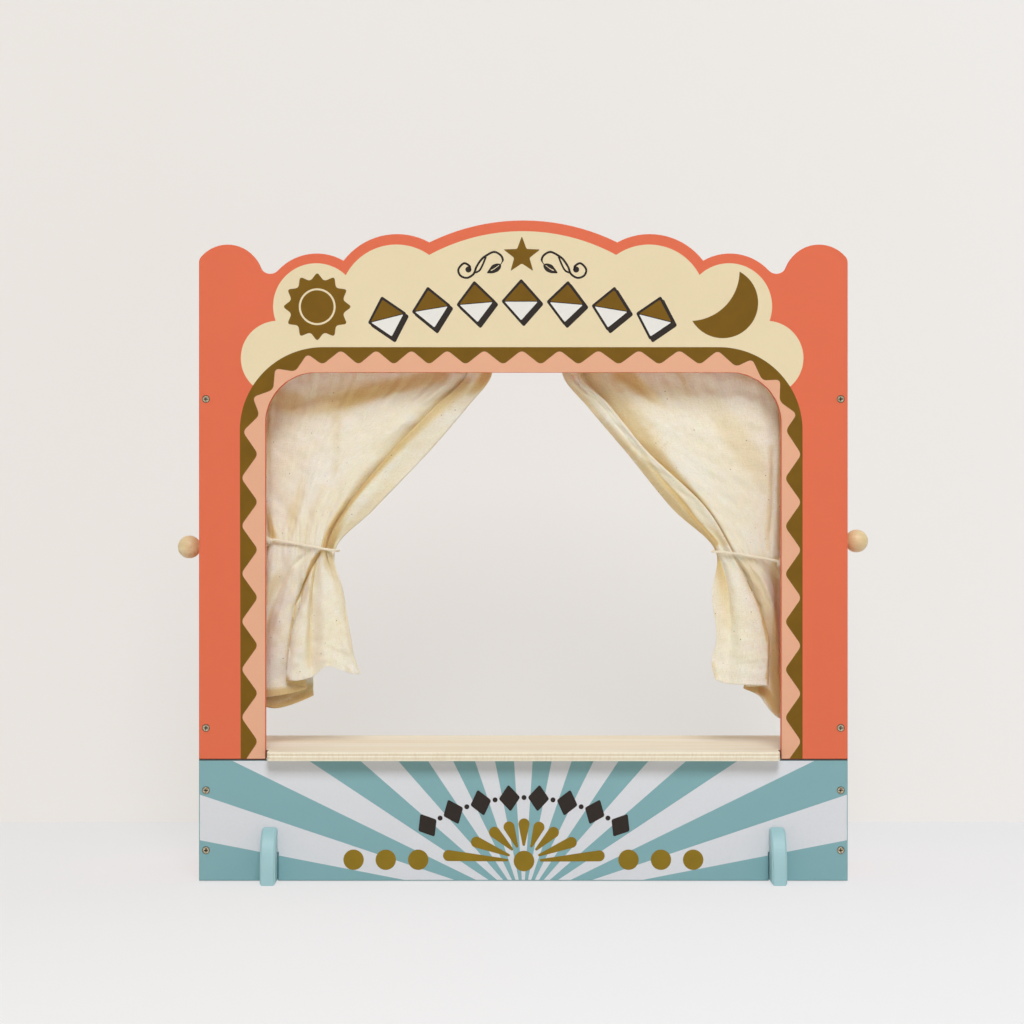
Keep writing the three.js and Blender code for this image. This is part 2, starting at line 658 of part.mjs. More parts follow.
// The sheet between two offset layers of the rows, closed round its rim
function curtain(label, side) {
  const rows = clothRows(label, side);
  const high = rows.length;
  const wide = rows[0].length;
  const pick = (r, c) => rows[Math.min(high - 1, Math.max(0, r))][Math.min(wide - 1, Math.max(0, c))];
  const layers = [1, -1].map((face) => rows.flatMap((row, r) => row.map((point, c) => {
    const across = pick(r, c + 1).clone().sub(pick(r, c - 1));
    const down = pick(r + 1, c).clone().sub(pick(r - 1, c));
    const normal = across.cross(down).normalize();
    return point.clone().addScaledVector(normal, face * side * cloth_thickness / 2);
  })));
  const count = high * wide;
  const index = [];
  const quad = (a, b, c, d) => {
    if (side > 0) {
      index.push(a, b, c, a, c, d);
    } else {
      index.push(a, c, b, a, d, c);
    }
  };
  const at = (r, c) => r * wide + c;
  for (let r = 0; r < high - 1; r++) {
    for (let c = 0; c < wide - 1; c++) {
      quad(at(r, c), at(r, c + 1), at(r + 1, c + 1), at(r + 1, c));
      quad(count + at(r, c), count + at(r + 1, c), count + at(r + 1, c + 1), count + at(r, c + 1));
    }
  }
  const rim = [];
  for (let c = 0; c < wide - 1; c++) {
    rim.push(at(0, c));
  }
  for (let r = 0; r < high - 1; r++) {
    rim.push(at(r, wide - 1));
  }
  for (let c = wide - 1; c > 0; c--) {
    rim.push(at(high - 1, c));
  }
  for (let r = high - 1; r > 0; r--) {
    rim.push(at(r, 0));
  }
  rim.forEach((a, i) => {
    const b = rim[(i + 1) % rim.length];
    quad(b, a, count + a, count + b);
  });
  const geometry = new THREE.BufferGeometry();
  const positions = layers.flat().flatMap((p) => [p.x, p.y, p.z]);
  geometry.setAttribute('position', new THREE.Float32BufferAttribute(positions, 3));
  geometry.setIndex(index);
  geometry.computeVertexNormals();
  return geometry;
}

// Tie-back cord, one unbroken tube along its route

function tiebackCord(label, side) {
  const route = label === 'left' ? left_cord_route : right_cord_route;
  const inward_shares = label === 'left' ? left_cord_inward_shares : right_cord_inward_shares;
  const height = tieHeight(label);
  const tied_row = foldTables(label).across_shares[left_upper_level_shares.length];
  const span = tie_peg_x - acrossPlace(tied_row[tied_row.length - 1]);
  const path = new THREE.CatmullRomCurve3(route.map(([outward, back, up], i) => {
    const out = tie_peg_x - span * inward_shares[i] + outward;
    return new THREE.Vector3(side * out, rod_y + back, height + up);
  }));
  const section = new THREE.Shape();
  for (let i = 0; i < cord_sides; i++) {
    const angle = 2 * Math.PI * i / cord_sides;
    const x = cord_radius * Math.cos(angle);
    const y = cord_radius * Math.sin(angle);
    if (i === 0) {
      section.moveTo(x, y);
    } else {
      section.lineTo(x, y);
    }
  }
  return new THREE.ExtrudeGeometry(section, { steps: cord_steps, bevelEnabled: false, extrudePath: path });
}

// Assembly

function frontBoards() {
  const group = new THREE.Group();
  group.add(named('upper_front_panel', upperFrontPanel(), coral));
  group.add(named('lower_front_panel', lowerFrontPanel(), teal));
  return group;
}

function sideBoard(label, side) {
  const group = new THREE.Group();
  group.add(named(`${label}_side_panel`, sidePanel(label, side), coral));
  const knob = named(`${label}_knob`, ballPeg(), beech);
  knob.position.set(side * half_width, ball_y, ballHeight(label));
  knob.rotation.y = side * Math.PI / 2;
  group.add(knob);
  for (const place of shelfScrewPlaces(side)) {
    const piece = named(`${label}_shelf_screw_${place.label}`, inward(screw(), side), bronze);
    piece.position.set(place.x, place.y, place.z);
    group.add(piece);
  }
  for (const place of frontScrewPlaces(side)) {
    const piece = named(`${label}_front_screw_${place.label}`, backward(screw()), bronze);
    piece.position.set(place.x, place.y, place.z);
    group.add(piece);
  }
  return group;
}

function stage() {
  const group = new THREE.Group();
  group.add(named('stage_shelf', stageShelf(), plywood));
  const rod = named('curtain_rod', curtainRod(), beech);
  rod.position.set(0, rod_y, rod_z);
  group.add(rod);
  return group;
}

function curtainSet(label, side) {
  const group = new THREE.Group();
  group.add(named(`${label}_curtain`, curtain(label, side), calico));
  group.add(named(`${label}_tieback`, tiebackCord(label, side), cotton));
  const peg = named(`${label}_tieback_peg`, tiePeg(), beech);
  peg.position.set(side * tie_peg_x, board_back_y, tieHeight(label));
  peg.rotation.x = -Math.PI / 2;
  group.add(peg);
  return group;
}

function footSet(label, side) {
  const piece = named(`${label}_foot`, foot(), foot_teal);
  piece.position.set(side * foot_x, front_y + board_thickness / 2, 0);
  return piece;
}

const theater = new THREE.Group();
theater.add(frontBoards());
theater.add(stage());
for (const [label, side] of sides) {
  theater.add(sideBoard(label, side));
  theater.add(curtainSet(label, side));
  theater.add(footSet(label, side));
}

export default theater;
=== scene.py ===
"""A table-top puppet theater: painted boards with printed ornament, a plywood shelf, turned pegs,
tied-back calico curtains and their cords. Lengths are millimetres unless a comment says metres, and
meshes are metres."""

import math
from itertools import cycle

import bmesh
import bpy
import numpy as np
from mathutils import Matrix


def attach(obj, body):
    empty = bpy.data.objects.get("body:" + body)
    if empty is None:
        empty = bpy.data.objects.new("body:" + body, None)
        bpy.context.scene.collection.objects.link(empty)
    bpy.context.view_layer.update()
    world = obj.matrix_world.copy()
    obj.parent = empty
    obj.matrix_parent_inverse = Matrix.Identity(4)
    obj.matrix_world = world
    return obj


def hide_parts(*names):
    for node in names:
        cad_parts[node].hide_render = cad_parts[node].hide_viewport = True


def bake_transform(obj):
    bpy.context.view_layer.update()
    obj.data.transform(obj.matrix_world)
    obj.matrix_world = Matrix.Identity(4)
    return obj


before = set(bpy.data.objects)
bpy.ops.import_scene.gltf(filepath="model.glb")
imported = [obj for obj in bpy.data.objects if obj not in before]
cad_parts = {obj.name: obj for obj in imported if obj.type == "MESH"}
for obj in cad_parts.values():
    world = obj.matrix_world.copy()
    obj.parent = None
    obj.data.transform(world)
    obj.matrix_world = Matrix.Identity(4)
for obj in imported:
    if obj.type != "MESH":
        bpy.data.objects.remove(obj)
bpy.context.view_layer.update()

MM = 0.001

# The boards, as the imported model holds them
FRONT_Y = -56.5
OPENING_HALF = 238.5
OPENING_TOP = 471.3
OPENING_CORNER = 47
ARRIS = 0.9
SEAM_Z = 113.1
ROD_Y = -19.5
ROD_Z = 495
SCREW_X = 293.5
SCREW_Z = (29.2, 84.6, 142.3, 446.4)
PEG_X = 246.987

# Camera and room

CAMERA = (-10.5, -2056.5, 342)
LENS = 76.05
SENSOR = 36
VIEW_END = 20000
WALL_Y = 330
ROOM_HALF = 4000
ROOM_TOP = 3500


def camera():
    """Level camera, looking along +Y."""
    data = bpy.data.cameras.new("camera")
    data.lens = LENS
    data.sensor_width = SENSOR
    data.clip_end = VIEW_END * MM
    eye = bpy.data.objects.new("camera", data)
    eye.location = [c * MM for c in CAMERA]
    eye.rotation_euler = (math.pi / 2, 0, 0)
    bpy.context.scene.collection.objects.link(eye)
    bpy.context.scene.camera = eye


camera()


def linear(red, green, blue):
    """Screen bytes to light, by the standard curve of screens."""
    c = np.array([red, green, blue], float) / 255
    light = np.where(c <= 0.04045, c / 12.92, ((c + 0.055) / 1.055) ** 2.4)
    return (*[float(v) for v in light], 1.0)


def tinted(colour, share):
    """A colour made lighter or darker by a share."""
    return (*[min(1.0, c * (1 + share)) for c in colour[:3]], 1.0)


class Nodes:
    """A node tree being filled."""

    def __init__(self, tree):
        self.tree = tree

    def add(self, kind, inputs=None, out=0, **settings):
        """One node with its settings, its inputs linked or set, and the output asked for."""
        node = self.tree.nodes.new(kind)
        for key, value in settings.items():
            setattr(node, key, value)
        for socket, value in (inputs or {}).items():
            if isinstance(value, bpy.types.NodeSocket):
                self.tree.links.new(value, node.inputs[socket])
            else:
                node.inputs[socket].default_value = value
        return node.outputs[out]

    def surface(self, value, output="Material Output"):
        """What the whole tree shows."""
        self.tree.links.new(value, self.tree.nodes[output].inputs["Surface"])


class Finish(Nodes):
    """A finish being mixed: one material, its nodes and its shader."""

    def __init__(self, name, **sockets):
        self.material = bpy.data.materials.new(name)
        self.material.use_nodes = True
        super().__init__(self.material.node_tree)
        self.shader = self.tree.nodes["Principled BSDF"]
        for socket, value in sockets.items():
            self.shader.inputs[socket.replace("_", " ")].default_value = value

    def place(self, scale=(1, 1, 1), shift=(0, 0, 0), source="Object"):
        """Coordinates on the piece, in metres, shifted and then scaled."""
        where = self.add("ShaderNodeTexCoord", out=source)
        moved = self.add("ShaderNodeVectorMath", {0: where, 1: shift}, operation="ADD")
        return self.add("ShaderNodeVectorMath", {0: moved, 1: scale}, operation="MULTIPLY")

    def calc(self, operation, a, b=0.0, clamp=False):
        """Arithmetic of one or two values."""
        return self.add("ShaderNodeMath", {0: a, 1: b}, operation=operation, use_clamp=clamp)

    def times(self, first, *others):
        """The product of several values."""
        for other in others:
            first = self.calc("MULTIPLY", first, other)
        return first

    def away(self, value, level=0.0):
        """How far a value is from a level, either way."""
        return self.calc("ABSOLUTE", self.calc("SUBTRACT", value, level) if level else value)

    def cloud(self, where, scale=1.0, detail=3.0, roughness=0.5, distortion=0.0):
        """Soft noise from 0 to 1."""
        inputs = {"Vector": where, "Scale": scale, "Detail": detail, "Roughness": roughness}
        return self.add("ShaderNodeTexNoise", {**inputs, "Distortion": distortion})

    def span(self, value, low, high, new_low=0.0, new_high=1.0):
        """A value between low and high carried to another range."""
        inputs = {"Value": value, 1: low, 2: high, 3: new_low, 4: new_high}
        return self.add("ShaderNodeMapRange", inputs, clamp=True)

    def mixed(self, share, first, second, blend_type="MIX"):
        """Two colours mixed by a share."""
        inputs = {0: share, 6: first, 7: second}
        return self.add("ShaderNodeMix", inputs, out=2, data_type="RGBA", blend_type=blend_type)

    def drifting(self, share, colour, drift):
        """A colour between a darker and a lighter tone of itself."""
        return self.mixed(share, tinted(colour, -drift), tinted(colour, drift))

    def parts(self, vector):
        """The three parts of a vector."""
        node = self.tree.nodes.new("ShaderNodeSeparateXYZ")
        self.tree.links.new(vector, node.inputs[0])
        return node.outputs[0], node.outputs[1], node.outputs[2]

    def facing(self):
        """The surface's own direction, part by part."""
        return self.parts(self.add("ShaderNodeNewGeometry", out="Normal"))

    def colour(self, value):
        """The finish's base colour."""
        self.tree.links.new(value, self.shader.inputs["Base Color"])

    def rough(self, noise, low, high):
        """Roughness between two levels, by a noise."""
        level = self.span(noise, 0.3, 0.7, low, high)
        self.tree.links.new(level, self.shader.inputs["Roughness"])

    def relief(self, height, depth, strength):
        """Bumps of the given depth in millimetres."""
        inputs = {"Height": height, "Distance": depth * MM, "Strength": strength}
        bump = self.add("ShaderNodeBump", inputs)
        self.tree.links.new(bump, self.shader.inputs["Normal"])


# Finishes

# Painted shade on the rounded edges along the seam reaches this far up and down, and this far into
# the boards
SEAM_SHADE_HEIGHT = 1.1
SEAM_SHADE_DEPTH = 3


def seam_shade(finish, tone, dark):
    """The rounded edges on both sides of the seam between the front boards, darkened with painted
    shade as falls in the gap between the boards."""
    _, y, z = finish.parts(finish.place(shift=(0, 0, -SEAM_Z * MM)))
    _, ny, _ = finish.facing()
    by_seam = finish.calc("LESS_THAN", finish.away(z), SEAM_SHADE_HEIGHT * MM)
    on_front = finish.calc("LESS_THAN", y, (FRONT_Y + SEAM_SHADE_DEPTH) * MM)
    edge = finish.times(finish.calc("GREATER_THAN", ny, -0.97), on_front)
    return finish.mixed(finish.times(by_seam, edge, 0.7), tone, dark)


def paint(name, colour, roughness, drift=0.02, coat=0.0):
    """Rolled satin paint: slow drift of tone, a fine stipple and small changes of gloss."""
    finish = Finish(name, Specular_IOR_Level=0.3, Coat_Weight=coat, Coat_Roughness=0.4)
    slow = finish.cloud(finish.place(), 9.0, 2.0)
    fine = finish.cloud(finish.place(), 1100.0, 2.0, 0.6)
    patch = finish.cloud(finish.place(), 55.0, 3.0)
    tone = finish.drifting(slow, colour, drift)
    speck = finish.span(fine, 0.35, 0.75)
    tone = finish.mixed(finish.times(speck, 0.05), tone, tinted(colour, -0.25))
    # Painted shade along the seam between the front boards
    finish.colour(seam_shade(finish, tone, SEAM_SHADE_CORAL))
    finish.rough(patch, roughness - 0.05, roughness + 0.05)
    finish.relief(fine, 0.012, 0.5)
    return finish.material


# Scale, detail and roughness of the mottle that a printing mesh leaves
MESH_MOTTLE = (420.0, 3.0, 0.65)


def ink(name, colour, drift=0.025, spread=14.0):
    """Screen-printed ink: flat and dull, with the mottle of the mesh it was pressed through."""
    finish = Finish(name, Specular_IOR_Level=0.2)
    mottle = finish.cloud(finish.place(), *MESH_MOTTLE)
    slow = finish.span(finish.cloud(finish.place(), spread, 2.0), 0.25, 0.75)
    tone = finish.drifting(slow, colour, drift)
    pressed = finish.span(mottle, 0.45, 0.8, 0, 0.06)
    finish.colour(finish.mixed(pressed, tone, tinted(colour, -0.3)))
    finish.rough(mottle, 0.5, 0.6)
    finish.relief(mottle, 0.008, 0.5)
    return finish.material


RAY_DEGREES = 7.525
RAYS_BELOW = 19.5
# Two-ray turns added before the fraction is taken: whole ones, and a quarter for a pale ray upright
RAY_START = 20.25


def sun_ray_paint(pale, teal):
    """Kickboard print: rays of equal angle about a point under the middle of the board. The angle
    from upright, divided by the width of two rays, gives a fraction that is under a half on a pale
    ray."""
    finish = Finish("sun_ray_paint", Specular_IOR_Level=0.3)
    x, _, z = finish.parts(finish.place(shift=(0, 0, RAYS_BELOW * MM)))
    angle = finish.calc("ARCTAN2", x, z)
    turns = finish.calc("DIVIDE", angle, math.radians(2 * RAY_DEGREES))
    half = finish.calc("FRACT", finish.calc("ADD", turns, RAY_START))
    pale_ray = finish.calc("LESS_THAN", half, 0.5)
    _, ny, _ = finish.facing()
    front = finish.calc("LESS_THAN", ny, -0.9)
    slow = finish.cloud(finish.place(), 10.0, 2.0)
    mottle = finish.cloud(finish.place(), *MESH_MOTTLE)
    teal_tone = finish.drifting(slow, teal, 0.03)
    pale_tone = finish.drifting(slow, pale, 0.012)
    tone = finish.mixed(finish.times(pale_ray, front), teal_tone, pale_tone)
    tone = finish.mixed(finish.span(mottle, 0.45, 0.8, 0, 0.05), tone, tinted(teal, -0.3))
    # Painted shade along the seam between the front boards
    finish.colour(seam_shade(finish, tone, SEAM_SHADE_TEAL))
    finish.rough(mottle, 0.46, 0.56)
    finish.relief(mottle, 0.01, 0.5)
    return finish.material


PLIES = 5
PLY_STACK = 8.4
# Painted shade on the shelf's ends in the gaps by the jambs: past this distance from the middle,
# forward of this depth
END_SHADE_X = 235.9
END_SHADE_Y = -45


def plywood():
    """Birch plywood: long grain on the faces, and on the edges plies by height with thin glue
    lines; the ends beside the jambs are darkened with painted shade, as in the gaps there."""
    pale, warm, dark = linear(249, 243, 223), linear(240, 227, 195), linear(176, 136, 92)
    finish = Finish("birch_plywood")
    grain = finish.cloud(finish.place((2.2, 95, 95)), 1.0, 5.0, 0.6, 0.6)
    fibre = finish.cloud(finish.place((12, 900, 900)), 1.0, 3.0, 0.6)
    cathedral = finish.cloud(finish.place((1.1, 16, 16)), 1.0, 2.0, 0.5, 1.2)
    face = finish.mixed(finish.span(grain, 0.35, 0.68), pale, warm)
    face = finish.mixed(finish.span(cathedral, 0.5, 0.7, 0, 0.35), face, tinted(warm, -0.08))
    face = finish.mixed(finish.span(fibre, 0.55, 0.8, 0, 0.25), face, dark)
    x, y, z = finish.parts(finish.place(shift=(0, 0, -SEAM_Z * MM)))
    wander = finish.span(finish.cloud(finish.place((25, 25, 0)), 1.0, 2.0), 0.3, 0.7, -0.04, 0.04)
    ply = finish.calc("ADD", finish.calc("DIVIDE", z, PLY_STACK * MM / PLIES), wander)
    cross = finish.calc("PINGPONG", ply, 1.0)
    end_grain = finish.cloud(finish.place((700, 700, 120)), 1.0, 3.0, 0.7)
    odd = finish.calc("LESS_THAN", finish.calc("FRACT", finish.times(ply, 0.5)), 0.5)
    edge = finish.mixed(odd, tinted(warm, -0.08), pale)
    edge = finish.mixed(finish.span(end_grain, 0.4, 0.75, 0, 0.22), edge, dark)
    glue = finish.span(finish.away(cross, 0.5), 0.43, 0.5, 0, 0.8)
    edge = finish.mixed(glue, edge, dark)
    _, _, nz = finish.facing()
    side = finish.calc("LESS_THAN", finish.away(nz), 0.5)
    # Painted shade: the ends in the gaps by the jambs turn dark brown
    ends = finish.calc("GREATER_THAN", finish.away(x), END_SHADE_X * MM)
    ends = finish.times(ends, finish.calc("LESS_THAN", y, END_SHADE_Y * MM))
    edge = finish.mixed(finish.times(ends, 0.85), edge, linear(58, 42, 30))
    finish.colour(finish.mixed(side, face, edge))
    finish.rough(grain, 0.5, 0.66)
    height = finish.calc("ADD", finish.times(fibre, 0.6), finish.times(glue, -0.6))
    finish.relief(height, 0.03, 0.6)
    return finish.material


def beech(name, along):
    """Turned pale beech: fine fibre drawn out along one axis, short dark flecks, a waxed sheen."""
    stretch = [170, 170, 170]
    stretch[along] = 14
    finish = Finish(name, Coat_Weight=0.12, Coat_Roughness=0.35)
    fibre = finish.cloud(finish.place(tuple(stretch)), 1.0, 4.0, 0.6, 0.4)
    fleck = finish.cloud(finish.place(tuple(6 * s for s in stretch)), 1.0, 2.0, 0.5)
    share = finish.span(fibre, 0.3, 0.7)
    tone = finish.mixed(share, linear(236, 219, 174), linear(220, 197, 145))
    share = finish.span(fleck, 0.62, 0.75, 0, 0.35)
    finish.colour(finish.mixed(share, tone, linear(176, 138, 90)))
    finish.rough(fibre, 0.42, 0.55)
    finish.relief(fleck, 0.02, 0.4)
    return finish.material


# Painted shade in the recesses: by depth in the front, by distance out from SCREW_X in the sides
FRONT_RECESS_SHADE = (0.15, 0.7)
SIDE_RECESS_SHADE = (6.3, 5.8)
# Radii over which a painted shadow ring darkens round each front screw's head
HEAD_RIM_SHADE = (2.7, 3.3)


def screw_metal(name, in_front):
    """Nickelled screw heads: worn bright patches, fine scratches, uneven gloss, and painted shade
    in the cross recess. On the front's screws, by distance from their axes, also a painted shadow
    ring where the head sinks into the board."""
    finish = Finish(name, Metallic=0.6)
    x, y, z = finish.parts(finish.place())
    out = finish.calc("SUBTRACT", finish.away(x), SCREW_X * MM)
    patch = finish.span(finish.cloud(finish.place(), 900.0, 3.0, 0.6), 0.4, 0.62)
    scratch = finish.cloud(finish.place((3000, 400, 3000)), 1.0, 2.0)
    tone = finish.mixed(patch, linear(150, 136, 108), linear(226, 216, 190))
    recess_shade = finish.span(out, *[edge * MM for edge in SIDE_RECESS_SHADE])
    if in_front:
        up = 1.0
        for height in SCREW_Z:
            up = finish.calc("MINIMUM", up, finish.away(z, height * MM))
        squares = finish.calc("ADD", finish.times(out, out), finish.times(up, up))
        # Painted shadow ring round the head
        rim = finish.span(finish.calc("SQRT", squares), *[edge * MM for edge in HEAD_RIM_SHADE])
        tone = finish.mixed(rim, tone, linear(62, 52, 40))
        recess_shade = finish.span(y, *[(FRONT_Y + depth) * MM for depth in FRONT_RECESS_SHADE])
    # Painted shade in the recesses
    finish.colour(finish.mixed(recess_shade, tone, linear(40, 34, 28)))
    finish.rough(scratch, 0.32, 0.5)
    finish.relief(scratch, 0.01, 0.5)
    return finish.material


THREAD = 0.52
# Flecks of husk: a fleck's radius as a share of its cell's width, and the level from 0 to 1 that a
# cell's random number has to pass for the cell to have one
FLECK_RADIUS = 0.068
FLECK_CELLS = 0.58


def calico():
    """Unbleached calico on the cloth's own length and width: two crossed threads, slubs drawn out
    along each thread, a slow drift of tone, scattered brown flecks of seed husk, and painted shade,
    tan to brown, in the creases and under the boards, as much as the piece's own attribute gives."""
    finish = Finish("calico_cloth", Roughness=0.95, Specular_IOR_Level=0.12,
                    Sheen_Weight=0.05, Sheen_Roughness=0.6, Subsurface_Weight=0.35,
                    Subsurface_Radius=(1.0, 0.62, 0.3), Subsurface_Scale=0.0025)
    cloth = finish.place(source="UV")
    u, v, _ = finish.parts(cloth)
    turn = 2 * math.pi / (THREAD * MM)
    warp = finish.calc("SINE", finish.times(u, turn))
    weft = finish.calc("SINE", finish.times(v, turn))
    weave = finish.times(warp, weft)
    slubs = [finish.span(finish.cloud(finish.place(scale, source="UV"), 1.0, 2.0, 0.6), 0.3, 0.7)
             for scale in ((1500, 130, 1), (130, 1500, 1))]
    slub = finish.calc("ADD", *slubs)
    slow = finish.cloud(cloth, 22.0, 3.0)
    grain = finish.cloud(cloth, 900.0, 3.0, 0.7)
    tone = finish.mixed(finish.span(slow, 0.3, 0.7), linear(254, 248, 235), linear(250, 240, 217))
    fold_shade = finish.add("ShaderNodeAttribute", out="Fac", attribute_name="painted_fold_shade")
    # Painted shade: tan, and brown where it is strongest
    tone = finish.mixed(finish.span(fold_shade, 0, 0.5), tone, linear(226, 202, 149))
    tone = finish.mixed(finish.span(fold_shade, 0.5, 1), tone, linear(182, 134, 78))
    share = finish.span(slub, 0.6, 1.7, 0.0, 0.4)
    tone = finish.mixed(share, tone, linear(228, 216, 188), "MULTIPLY")
    share = finish.span(grain, 0.5, 0.72, 0.0, 0.3)
    tone = finish.mixed(share, tone, linear(206, 180, 140), "MULTIPLY")
    cells = {"Vector": cloth, "Scale": 150.0, "Randomness": 1.0}
    near = finish.calc("LESS_THAN", finish.add("ShaderNodeTexVoronoi", cells), FLECK_RADIUS)
    pick = finish.parts(finish.add("ShaderNodeTexVoronoi", cells, out=1))[0]
    fleck = finish.times(near, finish.calc("GREATER_THAN", pick, FLECK_CELLS))
    finish.colour(finish.mixed(finish.times(fleck, 0.75), tone, linear(112, 84, 52)))
    height = finish.calc("ADD", finish.times(weave, 0.35), finish.times(slub, 0.5))
    finish.relief(height, 0.13, 0.9)
    return finish.material


def cotton_cord():
    """Twisted cotton cord on its own length: soft fuzz over the strands, a creamy drift of tone."""
    finish = Finish("cotton_cord", Roughness=0.9, Sheen_Weight=0.3, Sheen_Roughness=0.5)
    fuzz = finish.cloud(finish.place(source="UV"), 2600.0, 3.0, 0.7)
    slow = finish.cloud(finish.place(), 60.0, 2.0)
    tone = finish.mixed(slow, linear(250, 243, 224), linear(243, 232, 206))
    share = finish.span(fuzz, 0.5, 0.8, 0, 0.2)
    finish.colour(finish.mixed(share, tone, linear(206, 184, 142)))
    finish.relief(fuzz, 0.06, 0.7)
    return finish.material


CORAL = linear(226, 110, 75)
TEAL = linear(130, 173, 178)
PALE = linear(219, 221, 225)
# Painted shade for the seam between the front boards
SEAM_SHADE_CORAL = linear(66, 46, 36)
SEAM_SHADE_TEAL = linear(52, 62, 58)

coral_paint = paint("coral_paint", CORAL, 0.5)
foot_paint = paint("foot_paint", linear(164, 203, 208), 0.45, coat=0.12)
kick_print = sun_ray_paint(PALE, TEAL)
birch = plywood()
beech_across = beech("beech_across", 0)
beech_through = beech("beech_through", 1)
front_screw = screw_metal("front_screw_nickel", True)
side_screw = screw_metal("side_screw_nickel", False)
cloth = calico()
cord_cotton = cotton_cord()
cream_ink = ink("cream_ink", linear(232, 216, 178), 0.012)
olive_ink = ink("olive_ink", linear(119, 86, 10), 0.09, 60.0)
pink_ink = ink("pink_ink", linear(230, 174, 141), 0.015)
gold_ink = ink("gold_ink", linear(142, 115, 28), 0.07, 60.0)
dark_ink = ink("dark_ink", linear(48, 40, 36))
white_ink = ink("white_ink", linear(232, 230, 224), 0.01)


def dress(node, material):
    """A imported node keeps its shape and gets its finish."""
    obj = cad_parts[node]
    obj.data.materials.clear()
    obj.data.materials.append(material)


dress("upper_front_panel", coral_paint)
dress("lower_front_panel", kick_print)
dress("stage_shelf", birch)
dress("curtain_rod", beech_across)
for label in ("left", "right"):
    dress(label + "_side_panel", coral_paint)
    dress(label + "_knob", beech_across)
    dress(label + "_tieback_peg", beech_through)
    dress(label + "_foot", foot_paint)
    for place in ("front", "rear"):
        dress(f"{label}_shelf_screw_{place}", side_screw)
    for place in ("lower_bottom", "lower_top", "upper_bottom", "upper_top"):
        dress(f"{label}_front_screw_{place}", front_screw)


# Meshes from grids of points

def grid_quads(rows, columns, closed_rows=False, closed_columns=False):
    """Quads of a grid of points numbered row by row, closed on itself either way if asked."""
    r = np.arange(rows if closed_rows else rows - 1)[:, None]
    c = np.arange(columns if closed_columns else columns - 1)[None, :]
    corners = [(r + i) % rows * columns + (c + j) % columns
               for i, j in ((0, 0), (0, 1), (1, 1), (1, 0))]
    return np.stack(corners, -1).reshape(-1, 4)


def joined(shapes):
    """Several shapes as one: points and faces put one after the other."""
    points, faces, start = [], [], 0
    for shape_points, shape_faces in shapes:
        points.append(shape_points)
        faces += [np.asarray(group) + start for group in shape_faces]
        start += len(shape_points)
    return np.concatenate(points), faces


def piece(name, points, faces, material, smooth=True, uv=None, fold_shade=None):
    """A mesh object at the origin from points in millimetres and a list of face arrays."""
    mesh = bpy.data.meshes.new(name)
    flat = [face for group in faces for face in np.asarray(group).tolist()]
    mesh.from_pydata((np.asarray(points, float) * MM).tolist(), [], flat)
    mesh.polygons.foreach_set("use_smooth", np.full(len(mesh.polygons), smooth))
    if uv is not None:
        corners = np.empty(len(mesh.loops), int)
        mesh.loops.foreach_get("vertex_index", corners)
        layer = mesh.uv_layers.new(name="cloth_uv")
        layer.data.foreach_set("uv", (np.asarray(uv)[corners] * MM).ravel())
    if fold_shade is not None:
        mesh.attributes.new("painted_fold_shade", "FLOAT", "POINT").data.foreach_set("value", fold_shade)
    mesh.update()
    obj = bpy.data.objects.new(name, mesh)
    bpy.context.scene.collection.objects.link(obj)
    mesh.materials.append(material)
    return obj


# Printed ornament: thin layers of ink on the boards' front faces, drawn as (across, up)

# How far every layer reaches into its board
INK_SINK = 0.02


def on_board(points, y):
    """Drawn points as places at one depth."""
    return np.stack([points[:, 0], np.full(len(points), y), points[:, 1]], 1)


def strip(inner, outer, depth, closed=False):
    """A layer between two edges: a flat section from inner to outer edge, carried along both."""
    inner, outer = np.asarray(inner, float), np.asarray(outer, float)
    front, back = FRONT_Y - depth, FRONT_Y + INK_SINK
    section = ((inner, front), (outer, front), (outer, back), (inner, back))
    points = np.stack([on_board(edge, y) for edge, y in section], 1).reshape(-1, 3)
    faces = [grid_quads(len(inner), 4, closed, True)]
    if not closed:
        last = 4 * (len(inner) - 1)
        faces.append([[3, 2, 1, 0], [last, last + 1, last + 2, last + 3]])
    return points, faces


def patch(outline, depth, centre=None):
    """A layer inside one outline that its centre sees whole: fans of triangles front and back, and
    a rim."""
    outline = np.asarray(outline, float)
    centre = outline.mean(0) if centre is None else np.asarray(centre, float)
    count = len(outline)
    i = np.arange(count)
    j = (i + 1) % count
    levels = (FRONT_Y - depth, FRONT_Y + INK_SINK)
    points = [on_board(drawn, y) for drawn in (outline, centre[None]) for y in levels]
    fan = np.stack([i, j, np.full(count, 2 * count)], 1)
    under = np.stack([count + j, count + i, np.full(count, 2 * count + 1)], 1)
    rim = np.stack([j, i, count + i, count + j], 1)
    return np.concatenate(points), [fan, under, rim]


def printed(name, layers, material):
    """Several layers of one ink as one piece, with every face turned outward."""
    points, faces = joined(layers)
    obj = outward(piece(name, points, faces, material, smooth=False))
    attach(obj, "stand")


def outward(obj):
    """Faces of closed shells turned outward."""
    shell = bmesh.new()
    shell.from_mesh(obj.data)
    bmesh.ops.recalc_face_normals(shell, faces=shell.faces)
    shell.to_mesh(obj.data)
    shell.free()
    return obj


def polar(centre, radius, angle):
    """Points at the given distances and angles from a centre."""
    return np.stack([centre[0] + radius * np.cos(angle), centre[1] + radius * np.sin(angle)], 1)


def circle(centre, radius, count=96, start=0.0, sweep=2 * math.pi, ends=False):
    """Points round a centre, from a start angle through a sweep."""
    return polar(centre, radius, start + sweep * np.arange(count) / (count - 1 if ends else count))


